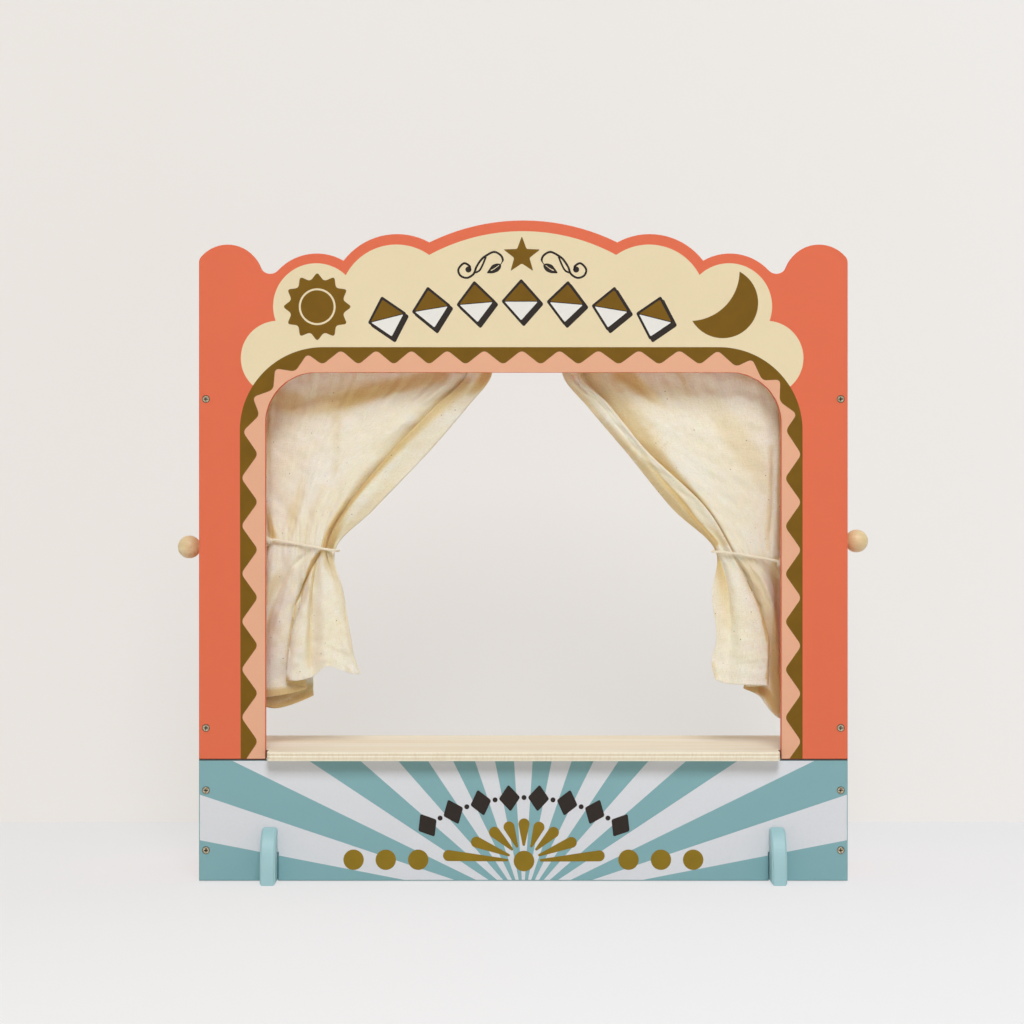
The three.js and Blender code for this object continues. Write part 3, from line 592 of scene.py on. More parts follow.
def softened(corners, cut, closed=True, steps=7):
    """Corners rounded: each becomes a parabola that starts and ends at the cut's length from it."""
    p = np.asarray(corners, float)
    ways = [np.roll(p, step, 0) - p for step in (1, -1)]
    a, b = (p + cut * (way / np.linalg.norm(way, axis=1)[:, None]) for way in ways)
    t = np.linspace(0, 1, steps)[None, :, None]
    curve = a[:, None] * (1 - t) ** 2 + 2 * p[:, None] * t * (1 - t) + b[:, None] * t ** 2
    if closed:
        return curve.reshape(-1, 2)
    return np.concatenate([p[:1], curve[1:-1].reshape(-1, 2), p[-1:]])


def arch_foot(points, half, top, corner, middle=0.0):
    """Nearest place on a round-cornered arch: straight across beside its legs, straight up over its
    top, and along the radius at its corners."""
    p = np.asarray(points, float) - [middle, 0]
    side = np.where(p[:, 0] < 0, -1.0, 1.0)
    bend = np.stack([side * (half - corner), np.full(len(p), top - corner)], 1)
    ray = p - bend
    ray /= np.maximum(np.linalg.norm(ray, axis=1), 1e-9)[:, None]
    foot = bend + corner * ray
    leg = p[:, 1] < top - corner
    over = ~leg & (np.abs(p[:, 0]) < half - corner)
    foot[leg] = np.stack([side * half, p[:, 1]], 1)[leg]
    foot[over] = np.stack([p[:, 0], np.full(len(p), float(top))], 1)[over]
    return foot + [middle, 0]


def arch(half, top, corner, bottom, middle=0.0, steps=48):
    """A round-cornered arch from its left foot over the top to its right foot."""
    turn = np.linspace(math.pi, math.pi / 2, steps)
    left = polar((corner - half, top - corner), corner, turn)
    right = left[::-1] * [-1, 1]
    return np.concatenate([[[-half, bottom]], left, right, [[half, bottom]]]) + [middle, 0]


# The olive border's outer edge: how far from its own middle it stands, its height, its corners'
# radius and the place of its middle
BORDER_HALF = 260.1
BORDER_TOP = 494.4
BORDER_CORNER = 77
BORDER_MIDDLE = -2
# How much nearer to the middle its left side ends, and how far it covers the cream field
BORDER_FOOT = 0.8
BORDER_OVERLAP = 3
PRINT_BOTTOM = SEAM_Z + ARRIS


def to_opening(points):
    """Nearest place on the opening's edge, part way over its arris."""
    inset = ARRIS * 0.4
    return arch_foot(points, OPENING_HALF + inset, OPENING_TOP, OPENING_CORNER + inset / 2)


# How far a tooth's tip is drawn out past its place, and where its softened corner starts
TOOTH_LEAN = 1.2
TOOTH_CUT = 4.6


def zigzag_edge():
    """The pink band's outer edge: teeth up the left side, over the top and down the right, each tip
    drawn out by the tooth's own lean and softened."""
    rising = [130.2, 152.3, 174.5, 196.5, 218.7, 240.8, 263, 285.1, 307.2, 329.3, 351.3, 373.4,
              395.5]
    left = [*zip(cycle((-246.4, -259.8)), rising)]
    over_left = [(-258.3, 416.2), (-245.1, 431.6), (-249.1, 447.8), (-232.2, 455.7),
                 (-228.8, 473.8), (-211.3, 472.9), (-199.6, 487.1)]
    across = [-185.6, -168.7, -152.5, -136.1, -119.8, -103.5, -87.1, -70.4, -53.5, -36.1, -18.8,
              -1.4, 16, 33.4, 50.9, 69.4, 88.1, 106.9, 125.5, 144.2, 162.9]
    top = [*zip(across, cycle((479.2, 490.6)))]
    over_right = [(179.7, 490.2), (196.4, 477.4), (211.3, 482.2), (221.3, 464.7),
                  (236.8, 463.5), (237.9, 444.8), (251.7, 432.4), (243.7, 417)]
    falling = [395.2, 373, 351, 328.8, 306.8, 284.7, 262.7, 240.5, 218.4, 196.2, 174.1, 152,
               129.9]
    right = [*zip(cycle((255.9, 242.8)), falling)]
    tips = np.array([(-256, PRINT_BOTTOM), *left, *over_left, *top, *over_right, *right,
                     (246, PRINT_BOTTOM)])
    lean = tips[1:-1] - (tips[:-2] + tips[2:]) / 2
    tips[1:-1] += TOOTH_LEAN * lean / np.linalg.norm(lean, axis=1)[:, None]
    return softened(tips, TOOTH_CUT, closed=False)


# The field's rays: where they start, their angles from and to in degrees, and their number
FIELD_EYE = (0, 300)
FIELD_DEGREES = (32.3, 147.7)
FIELD_RAYS = 2600
# The field prints where it is wider than this and reaches no further down than this
FIELD_WIDTH = 3.2
FIELD_DIP = 6


def lobed_field():
    """The cream field over the border: on each ray from a point in the opening, the farthest way
    out of any lobe, kept where that lies outside the border. A lobe is a place and a radius."""
    lobes = [(190.2, 532.2, 39.75), (116.2, 536.5, 52.75), (-0.6, 420.4, 181.2),
             (224.4, 484.3, 34.5), (-191.6, 532.2, 39.75), (-117.4, 536.5, 52.75),
             (-226.7, 484.3, 34.5)]
    eye = np.array(FIELD_EYE, float)
    angle = np.linspace(*map(math.radians, FIELD_DEGREES), FIELD_RAYS)
    ray = np.stack([np.cos(angle), np.sin(angle)], 1)
    reach = np.zeros(len(angle))
    for x, z, r in lobes:
        to_eye = eye - [x, z]
        half = ray @ to_eye
        under = half ** 2 - (to_eye @ to_eye - r * r)
        reach = np.maximum(reach, np.where(under > 0, -half + np.sqrt(np.maximum(under, 0)), 0))
    outer = eye + ray * reach[:, None]
    inset_border = [length - BORDER_OVERLAP for length in (BORDER_HALF, BORDER_TOP, BORDER_CORNER)]
    inner = arch_foot(outer, *inset_border, BORDER_MIDDLE)
    wide = np.linalg.norm(outer - inner, axis=1) > FIELD_WIDTH
    upward = (outer - inner) @ [0, 1] > -FIELD_DIP
    keep = wide & (outer[:, 1] > BORDER_TOP - BORDER_CORNER) & upward
    return inner[keep], outer[keep]


def capsule(head, tip, head_radius, tip_radius):
    """Outline of a petal: the tight band round a large and a small circle."""
    head, tip = np.asarray(head, float), np.asarray(tip, float)
    way = tip - head
    reach = np.linalg.norm(way)
    bearing = math.atan2(way[1], way[0])
    lean = math.acos((head_radius - tip_radius) / reach)
    big = circle(head, head_radius, 28, bearing + lean, 2 * math.pi - 2 * lean, True)
    small = circle(tip, tip_radius, 10, bearing - lean, 2 * lean, True)
    return np.concatenate([big, small])


def pointed(centre, outer, inner, count, cut):
    """Outline of a star or sun: softened corners at two radii in turn, the first one upright."""
    angle = math.pi / 2 + math.pi * np.arange(2 * count) / count
    radius = np.where(np.arange(2 * count) % 2 == 0, outer, inner)
    return softened(polar(centre, radius, angle), cut)


# The moon's tips, the way from between them to its round side, and how far its inner and its outer
# arc rise that way
MOON_TIPS = ((199.8, 564.3), (156.2, 518.7))
MOON_WAY = (0.722, -0.692)
MOON_RISES = (12.5, 41.5)


def crescent():
    """Inner and outer edge of the moon: two arcs through the same two tips. An arc's radius is the
    sum of the squares of its rise and of half the distance between the tips, divided by twice the
    rise."""
    tips = np.array(MOON_TIPS)
    middle = tips.mean(0)
    half = np.linalg.norm(tips[0] - middle)
    out = np.array(MOON_WAY)
    t = np.linspace(0.002, 0.998, 90)[:, None]
    edges = []
    for rise in MOON_RISES:
        radius = (half ** 2 + rise ** 2) / (2 * rise)
        centre = middle + out * (rise - radius)
        lean = math.atan2(half, radius - rise)
        angle = math.atan2(out[1], out[0]) + lean - 2 * lean * t[:, 0]
        edges.append(polar(centre, radius, angle))
    return edges


def arc_places(count, middle, radius, spread):
    """Places and tilts evenly along an arc over a point."""
    tilt = np.linspace(-spread / 2, spread / 2, count)
    return [((middle[0] + radius * math.sin(a), middle[1] + radius * math.cos(a)), a) for a in tilt]


def tilted(corners, centre, tilt, cut):
    """Softened outline through corners, turned about its centre with the arc that it stands on."""
    turn = np.array([[math.cos(tilt), -math.sin(tilt)], [math.sin(tilt), math.cos(tilt)]])
    return softened(np.array(corners) @ turn + centre, cut)


def lozenge(centre, tilt, wide, high, cut):
    """Outline of a diamond."""
    corners = [[wide / 2, 0], [0, high / 2], [-wide / 2, 0], [0, -high / 2]]
    return tilted(corners, centre, tilt, cut)


# Half of the gap between a diamond's two halves
HALF_GAP = 0.4


def half_lozenge(centre, tilt, wide, high, cut, sign):
    """Outline of the upper half of a diamond, or of its lower half if the sign is -1."""
    level = HALF_GAP * sign
    corners = [[wide / 2, level], [0, high / 2 * sign], [-wide / 2, level]]
    return tilted(corners, centre, tilt, cut)


def ribbon(points, widths):
    """Both edges of a drawn line: its centre line moved aside by half its width each way."""
    p = np.asarray(points, float)
    along = np.gradient(p, axis=0)
    along /= np.linalg.norm(along, axis=1)[:, None]
    aside = np.stack([-along[:, 1], along[:, 0]], 1) * np.asarray(widths, float)[:, None] / 2
    return p - aside, p + aside


def smooth_line(points, steps):
    """A smooth line through points: a cubic on each stretch whose slopes follow the neighbours."""
    p = np.asarray(points, float)
    p = np.concatenate([[2 * p[0] - p[1]], p, [2 * p[-1] - p[-2]]])
    t = np.linspace(0, 1, steps, endpoint=False)[None, :, None]
    a, b, c, d = (p[i:len(p) - 3 + i][:, None] for i in range(4))
    square, cube = 2 * a - 5 * b + 4 * c - d, 3 * b - a - 3 * c + d
    line = 0.5 * (2 * b + (c - a) * t + square * t ** 2 + cube * t ** 3)
    return np.concatenate([line.reshape(-1, p.shape[1]), p[-2:-1]])


# How far each ink stands out from its board; the ones that are printed later stand higher
FIELD_INK = 0.06
SHADOW_INK = 0.08
BORDER_INK = 0.09
FIGURE_INK = 0.1
BAND_INK = 0.12
FILL_INK = 0.14
SCROLL_INK = 0.16
VEIN_INK = 0.2

# Widths of the scrolls' lines, radius of their buds and softened corner of their leaves
STEM_WIDTH = 1.95
WAIST_WIDTH = 1.7
VEIN_WIDTH = 0.9
BUD_RADIUS = 2.8
LEAF_CUT = 1.6


def scroll_layers(side):
    """One scroll beside the star: a stem that curls round a bud and over its own waist, and a
    veined leaf."""
    def place(points):
        """Points of the right scroll, mirrored for the left one and set on the board."""
        p = np.asarray(points, float)
        return np.stack([side * p[:, 0] - 1, p[:, 1]], 1)

    stem = [(48.2, 565.6), (48.6, 569.2), (53.9, 571.9), (59, 566.4), (57.2, 560.6),
            (51.1, 558.5), (45.1, 562), (42.4, 568.5), (38.2, 575), (33.6, 578.9), (26.2, 582.4),
            (20.2, 579.6), (18, 575.2), (19.7, 571.1)]
    stem = smooth_line(place(stem), 16)
    share = np.linspace(0, 1, len(stem))
    widths = STEM_WIDTH * np.clip(14 * share, 0.5, 1) * np.clip(14 * (1 - share), 0.45, 1)
    waist = smooth_line(place([(43.5, 563.2), (39.5, 565.4), (36.4, 571), (33.6, 578)]), 16)
    leaf = [(33.2, 562.7), (30.4, 566.8), (27.6, 570.6), (23.2, 571.9), (19.4, 571.3),
            (19.6, 567.8), (22.2, 564.4), (27, 562.6)]
    vein = smooth_line(place([(29, 565.2), (25.4, 567.2), (21.6, 570)]), 10)
    bud = circle(place([(49.8, 566.2)])[0], BUD_RADIUS, 40)
    lines = [ribbon(stem, widths), ribbon(waist, np.full(len(waist), WAIST_WIDTH))]
    shapes = [softened(place(leaf), LEAF_CUT), bud]
    dark = [strip(*line, SCROLL_INK) for line in lines]
    dark += [patch(shape, SCROLL_INK) for shape in shapes]
    thinning = VEIN_WIDTH * np.linspace(1, 0.5, len(vein))
    return dark, [strip(*ribbon(vein, thinning), VEIN_INK)]


# Middles of the star and the sun, and the edges of the ring in the sun
STAR = (-1.4, 579.2)
SUN = (-190.6, 531.8)
SUN_RING = (15.2, 17)
# Width, height and softened corner of the diamonds
DIAMOND = (37, 42, 2)
HALF_DIAMOND = (30.5, 35, 1.2)
GARLAND_DIAMOND = (20, 25, 2)
# Radii of the fan's dots and of its middle one, of a petal's two ends, and of the garland's beads
DOT_RADIUS = 9.4
MIDDLE_RADIUS = 9.5
PETAL_RADII = (5.1, 1.2)
BEAD_RADIUS = 2.3
# Where the shadow under each diamond falls
SHADOW = (2.4, -2.6)
# Middle and radius of the arcs that carry the diamonds
DIAMOND_ARC = ((-2, 32.8), 504)
GARLAND_ARC = ((0.6, -90), 168)


def print_upper_board():
    """The prints on the upper board, from the field outwards to the smallest marks."""
    border = arch(BORDER_HALF, BORDER_TOP, BORDER_CORNER, PRINT_BOTTOM, BORDER_MIDDLE)
    border[0, 0] += BORDER_FOOT
    edge = zigzag_edge()
    printed("print_cream_field", [strip(*lobed_field(), FIELD_INK)], cream_ink)
    printed("print_olive_border", [strip(to_opening(border), border, BORDER_INK)], olive_ink)
    printed("print_pink_band", [strip(to_opening(edge), edge, BAND_INK)], pink_ink)
    star = pointed(STAR, outer=17.9, inner=7.4, count=5, cut=1.5)
    sun = pointed(SUN, outer=32, inner=24.4, count=12, cut=3.2)
    figures = [patch(star, FIGURE_INK), patch(sun, FIGURE_INK), strip(*crescent(), FIGURE_INK)]
    printed("print_gold_figures", figures, olive_ink)
    ring = [circle(SUN, radius) for radius in SUN_RING]
    printed("print_sun_ring", [strip(*ring, FILL_INK, closed=True)], cream_ink)
    (left_scroll, left_vein), (right_scroll, right_vein) = scroll_layers(-1), scroll_layers(1)
    printed("print_scrolls", left_scroll + right_scroll, dark_ink)
    printed("print_leaf_veins", left_vein + right_vein, cream_ink)
    places = arc_places(7, *DIAMOND_ARC, spread=0.497)
    outline = [patch(lozenge(c, a, *DIAMOND), FIGURE_INK) for c, a in places]
    fallen = [((c[0] + SHADOW[0], c[1] + SHADOW[1]), a) for c, a in places]
    drop = [patch(lozenge(c, a, *DIAMOND), SHADOW_INK) for c, a in fallen]
    printed("print_diamond_outlines", outline + drop, dark_ink)
    for name, sign, tone in (("tops", 1, olive_ink), ("feet", -1, white_ink)):
        halves = [patch(half_lozenge(c, a, *HALF_DIAMOND, sign), FILL_INK) for c, a in places]
        printed("print_diamond_" + name, halves, tone)


def print_kickboard():
    """The prints over the rays: a fan of petals among dots, under a garland along an arc."""
    places = [(x, 20.5) for x in (-157, -127.2, -97.2, 97.2, 127.2, 157)]
    dots = [circle(place, DOT_RADIUS, 64) for place in places]
    dots.append(circle((0.6, 19.3), MIDDLE_RADIUS, 64))
    petals = [((-69.2, 24.4), (-15.3, 20.2)), ((-43.4, 36.8), (-13.7, 24.8)),
              ((-26.7, 45.9), (-10.6, 30.2)), ((-13.2, 50.8), (-6.0, 32.8)),
              ((0.6, 53.6), (0.4, 34.5)), ((14.4, 50.6), (7.6, 33.0)),
              ((27.8, 45.8), (12.1, 30.2)), ((44.3, 36.5), (14.9, 24.8)),
              ((70.1, 24.1), (16.3, 20.0))]
    fan = [patch(dot, FIGURE_INK) for dot in dots]
    fan += [patch(capsule(*petal, *PETAL_RADII), FIGURE_INK, petal[0]) for petal in petals]
    printed("print_gold_fan", fan, gold_ink)
    garland = [lozenge(c, a, *GARLAND_DIAMOND)
               for c, a in arc_places(8, *GARLAND_ARC, spread=1.12)]
    garland += [circle(c, BEAD_RADIUS, 24) for c, _ in arc_places(7, *GARLAND_ARC, spread=0.96)]
    garland = [patch(shape, FIGURE_INK) for shape in garland]
    printed("print_dark_garland", garland, dark_ink)


print_upper_board()
print_kickboard()


# Curtains

def curve_rows(points, count):
    """Smooth curves through rows of points, all columns at once: a cubic on each stretch, whose
    slopes weigh the neighbouring stretches by the square roots of their lengths."""
    p = np.asarray(points, float)
    p = np.concatenate([[2 * p[0] - p[1]], p, [2 * p[-1] - p[-2]]])
    s = np.linspace(0, len(p) - 3, count)
    i = np.minimum(s.astype(int), len(p) - 4)
    t = (s - i)[:, None, None]
    a, b, c, d = p[i], p[i + 1], p[i + 2], p[i + 3]
    before, here, after = (np.sqrt(np.maximum(np.linalg.norm(way, axis=-1, keepdims=True), 1e-6))
                           for way in (b - a, c - b, d - c))
    out = here * ((b - a) / before - (c - a) / (before + here) + (c - b) / here)
    into = here * ((c - b) / here - (d - b) / (here + after) + (d - c) / after)
    square, cube = 3 * (c - b) - 2 * out - into, 2 * (b - c) + out + into
    return b + out * t + square * t ** 2 + cube * t ** 3


# The hem that the rod runs through: its radius and how far its tail hangs
POCKET = 6.28
POCKET_TAIL = 9

# Each curtain's folds. A row has a level: a height, None for the cord, or, up to 1, a share of the
# way from the row above to the hem. On each row the cloth's ridges and valleys lie at these
# distances from the middle of the stage, and at these depths behind the rod.
LEFT_FOLDS = {
    "levels": [470, 440, 400, 345, None, 265, 225, 0.55, 1],
    "across": [
        [283, 265, 246, 226, 206, 186, 166, 146, 126, 106, 86, 66, 50, 53, 29.8],
        [281, 263, 247, 230, 212, 195, 178, 162, 146, 130, 113.5, 97, 80, 83, 52.8],
        [279, 262, 249, 236, 222, 208, 195, 183, 171, 159.5, 148, 136, 118, 122, 87.4],
        [272, 258, 247, 236, 225, 216, 208, 201, 194, 187.5, 181, 174, 163, 166.5, 140.1],
        [262, 252, 244, 234, 224, 216, 210, 204.5, 199.5, 195, 191, 187.5, 182, 184, 177],
        [264, 257, 250, 241, 231, 222, 214, 209, 206, 202, 197.5, 188, 177, 171.5, 168.5],
        [266, 252, 240, 247, 246, 234, 222, 212, 218, 206, 199.5, 187, 174, 166, 162],
        [267, 245, 202, 240, 252, 239, 223, 207, 221, 209, 199, 185.5, 171, 162, 158.5],
        [268, 240, 199, 235, 257, 244, 225, 204, 222.7, 211, 198.5, 184, 168, 159, 152.5]],
    "depth": [
        [-3, -3, -2, -3, -2, -3, -4, -6, -7, -9, -10, -11, -7, -12, -7],
        [3, 4, 4, 4, 3, 1, -1, -4, -6, -8, -10, -11, -6, -12, -6],
        [6, 5, 5, 4, 3, 2, 0, -2, -3, -5, -6, -7, -1, -8, -1],
        [6, 3, 2, 0, -1, -2, -3, -3, -4, -5, -5.5, -7, -1, -8, 0],
        [9, 0, -3, -7, -6, -7, -6.5, -5, -6, -7, -5.5, -7.5, -2, -6.5, 0],
        [12, 3, 4, -4, 0, -5, -5, 2, -3, -6.5, -3, -9, -8, -9, -5],
        [20, 17, 14, 9, 7, -2, -1, 4, -5, -7.5, -3, -10, -8.5, -9, -6],
        [22, 19, 15, 11, 7.5, 1.5, 1, 3.5, -5, -8.5, -3.5, -10.5, -7, -9, -6],
        [23, 20, 15, 13, 8, 4, 2, 3, -5, -9, -4, -11, -6, -9, -6]],
    "hem": [154, 158, 168, 156, 164, 167, 170, 176, 183.3, 184, 187, 197.5, 192.5, 190.3, 189.7],
    "tie": 317, "slope": 0.155, "pucker": 0.24}

RIGHT_FOLDS = {
    "levels": [470, 440, 400, 345, None, 265, 225, 0.55, 1],
    "across": [
        [283, 264, 243, 221, 198, 175, 152, 129, 106, 82, 52, 56, 48, 41, 37.5],
        [281, 263, 244, 226, 206, 186, 166, 146, 125, 104, 78.5, 82, 76, 70, 61.4],
        [279, 262, 247, 232, 216, 199, 182, 165, 149, 132, 111, 114.5, 108, 102, 95.6],
        [272, 258, 247, 237, 227, 217, 207, 197, 187, 176.5, 169, 171.5, 163, 152, 140.9],
        [262, 252, 243, 236, 229.5, 223.5, 218, 212.5, 207, 201.5, 195.5, 197, 190, 184.5, 181.6],
        [266, 262, 257, 252, 247, 241, 236, 231, 227, 222, 215, 216.5, 201, 189.5, 177.3],
        [268, 264, 260, 256, 252, 247, 243, 239, 234, 227, 220, 230.5, 205, 194, 181.6],
        [268, 264.5, 261, 257.5, 254, 250, 246, 241, 233.5, 224.5, 214, 230.3, 206, 191, 177],
        [268, 265, 262, 259, 256, 252, 248, 242, 233, 222, 208, 230, 207, 192, 180.4]],
    "depth": [
        [-9, -12, -12, -12, -10, -8, -7, -8, -10, -9, -4, -11, -10.5, -10, -5],
        [-7, -12, -12, -12, -10, -7, -6, -8, -10, -9.5, -4, -12, -11, -10.5, -4],
        [-4, -9, -10, -10, -8, -7, -6, -6, -7, -8, -2, -11, -10, -9, -2],
        [3, -5, -3, -6, -5, -5.5, -5, -5, -5, -6, -1, -9, -8, -7.5, 1],
        [9, 0, -2, -6, -5, -6, -5.5, -6, -5.5, -6, -1.5, -8, -5, -5, 1],
        [20, 15, 18, 14, 16, 12, 4, -2, -1, 0, 5, -4, -8, -1, -6],
        [20, 16, 18, 15, 16, 14, 9, 3, 1, 2, 5, -5, -9, -2, -6],
        [20, 16.5, 18.5, 15.5, 16.5, 14.5, 11, 7.5, 5, 4, 4.5, -5.5, -9, -2, -4.5],
        [20, 17, 19, 16, 17, 15, 13, 11, 9, 6, 4, -6, -9, -2, -6]],
    "hem": [146, 146, 146, 146, 146, 146, 146, 147, 155, 169, 176, 178.9, 180.2, 180.6, 184.2],
    "tie": 295, "slope": -0.15, "pucker": 0.1}


def tie_height(folds, across):
    """Height of the cord at a distance from the middle of the stage."""
    return folds["tie"] - folds["slope"] * (PEG_X - across)


def cloth_surface(folds, side, down=215, across=197):
    """Middle of the cloth as a grid of points: the pocket's tail, half a turn over the rod, then
    ridge and valley lines down to the hem; curves across join the lines on every row."""
    x, y = np.array(folds["across"], float), np.array(folds["depth"], float)
    z = np.empty_like(x)
    for row, level in enumerate(folds["levels"]):
        if level is None:
            z[row] = tie_height(folds, x[row])
        elif level <= 1:
            z[row] = z[row - 1] + level * (np.array(folds["hem"]) - z[row - 1])
        else:
            z[row] = level
    lines = np.stack([side * x, ROD_Y + y, z], 2)
    ones = np.ones(len(x[0]))
    top = np.stack([side * x[0], (ROD_Y - POCKET) * ones, ROD_Z * ones], 1)
    body = curve_rows(np.concatenate([top[None], lines]), down)
    turn = np.linspace(0, math.pi, 15)[:-1, None]
    over = np.broadcast_to(top, (len(turn), *top.shape)).copy()
    over[..., 1] = ROD_Y + POCKET * np.cos(turn)
    over[..., 2] = ROD_Z + POCKET * np.sin(turn)
    tail = over[:1].copy()
    tail[..., 2] = ROD_Z - POCKET_TAIL
    rows = np.concatenate([tail, (tail + over[:1]) / 2, over, body])
    return curve_rows(rows.transpose(1, 0, 2), across).transpose(1, 0, 2)


# Creases pressed into the cloth. Each runs through points given as share across, share down, depth
# and half width; a negative depth is a ridge.
LEFT_CREASES = [
    [(0.735, 0.6, 4, 1.5), (0.612, 0.639, 6, 1.8), (0.469, 0.696, 5, 2), (0.449, 0.752, 3, 2.2),
     (0.587, 0.848, 1.5, 2.5), (0.582, 0.991, 0.5, 3)],
    [(0.668, 0.604, 2, 1.4), (0.699, 0.683, 3, 1.7), (0.699, 0.752, 2.5, 1.9),
     (0.709, 0.878, 1.5, 2.2), (0.714, 1, 0.6, 2.5)],
    [(0.566, 0.6, 1.5, 1.5), (0.418, 0.622, 2.5, 2), (0.332, 0.652, 3, 3), (0.276, 0.687, 3, 3.5),
     (0.281, 0.739, 1.5, 4)],
    [(0.929, 0.609, 1.5, 1.8), (0.923, 0.648, 2.2, 2.5), (0.923, 0.691, 1.5, 3),
     (0.99, 0.761, 0.6, 4)],
    [(0.337, 0.561, 1.2, 2), (0.378, 0.517, 2, 3.2), (0.408, 0.465, 1.3, 5), (0.439, 0.43, 0.4, 6)],
    [(0.577, 0.565, 0.8, 1.5), (0.628, 0.5, 1.4, 2.2), (0.628, 0.452, 1, 3.5),
     (0.556, 0.4, 0.7, 4.5), (0.464, 0.309, 0.7, 4.5), (0.429, 0.243, 0.2, 5)],
    [(0.276, 0.557, -0.8, 1.5), (0.316, 0.509, -1.2, 2), (0.367, 0.457, -0.3, 4)],
]

RIGHT_CREASES = [
    [(0.214, 0.378, 0.8, 2.5), (0.219, 0.43, 2, 2.5), (0.24, 0.496, 2, 2.5),
     (0.245, 0.552, 1, 2.5)],
    [(0.342, 0.204, 0.3, 1.2), (0.362, 0.283, 0.6, 1.2), (0.383, 0.378, 0.2, 1.4)],
    [(0.949, 0.6, 2.5, 1.5), (0.918, 0.635, 3.5, 2.5), (0.898, 0.678, 3, 3.5),
     (0.908, 0.735, 2, 4.5), (0.913, 0.826, 0.5, 6)],
    [(0.786, 0.596, 3, 1.3), (0.786, 0.639, 4, 1.6), (0.791, 0.683, 4, 1.8), (0.653, 0.722, 3, 2),
     (0.791, 0.757, 1.5, 2)],
    [(0.893, 0.404, 0.4, 2), (0.898, 0.43, 1.2, 2), (0.908, 0.474, 1.8, 2), (0.913, 0.517, 1.8, 2),
     (0.913, 0.552, 1.5, 1.8)],
    [(0.612, 0.165, 3, 6), (0.592, 0.191, 3, 6), (0.571, 0.226, 2.5, 6), (0.561, 0.252, 1.2, 6),
     (0.546, 0.274, 0, 6)],
]

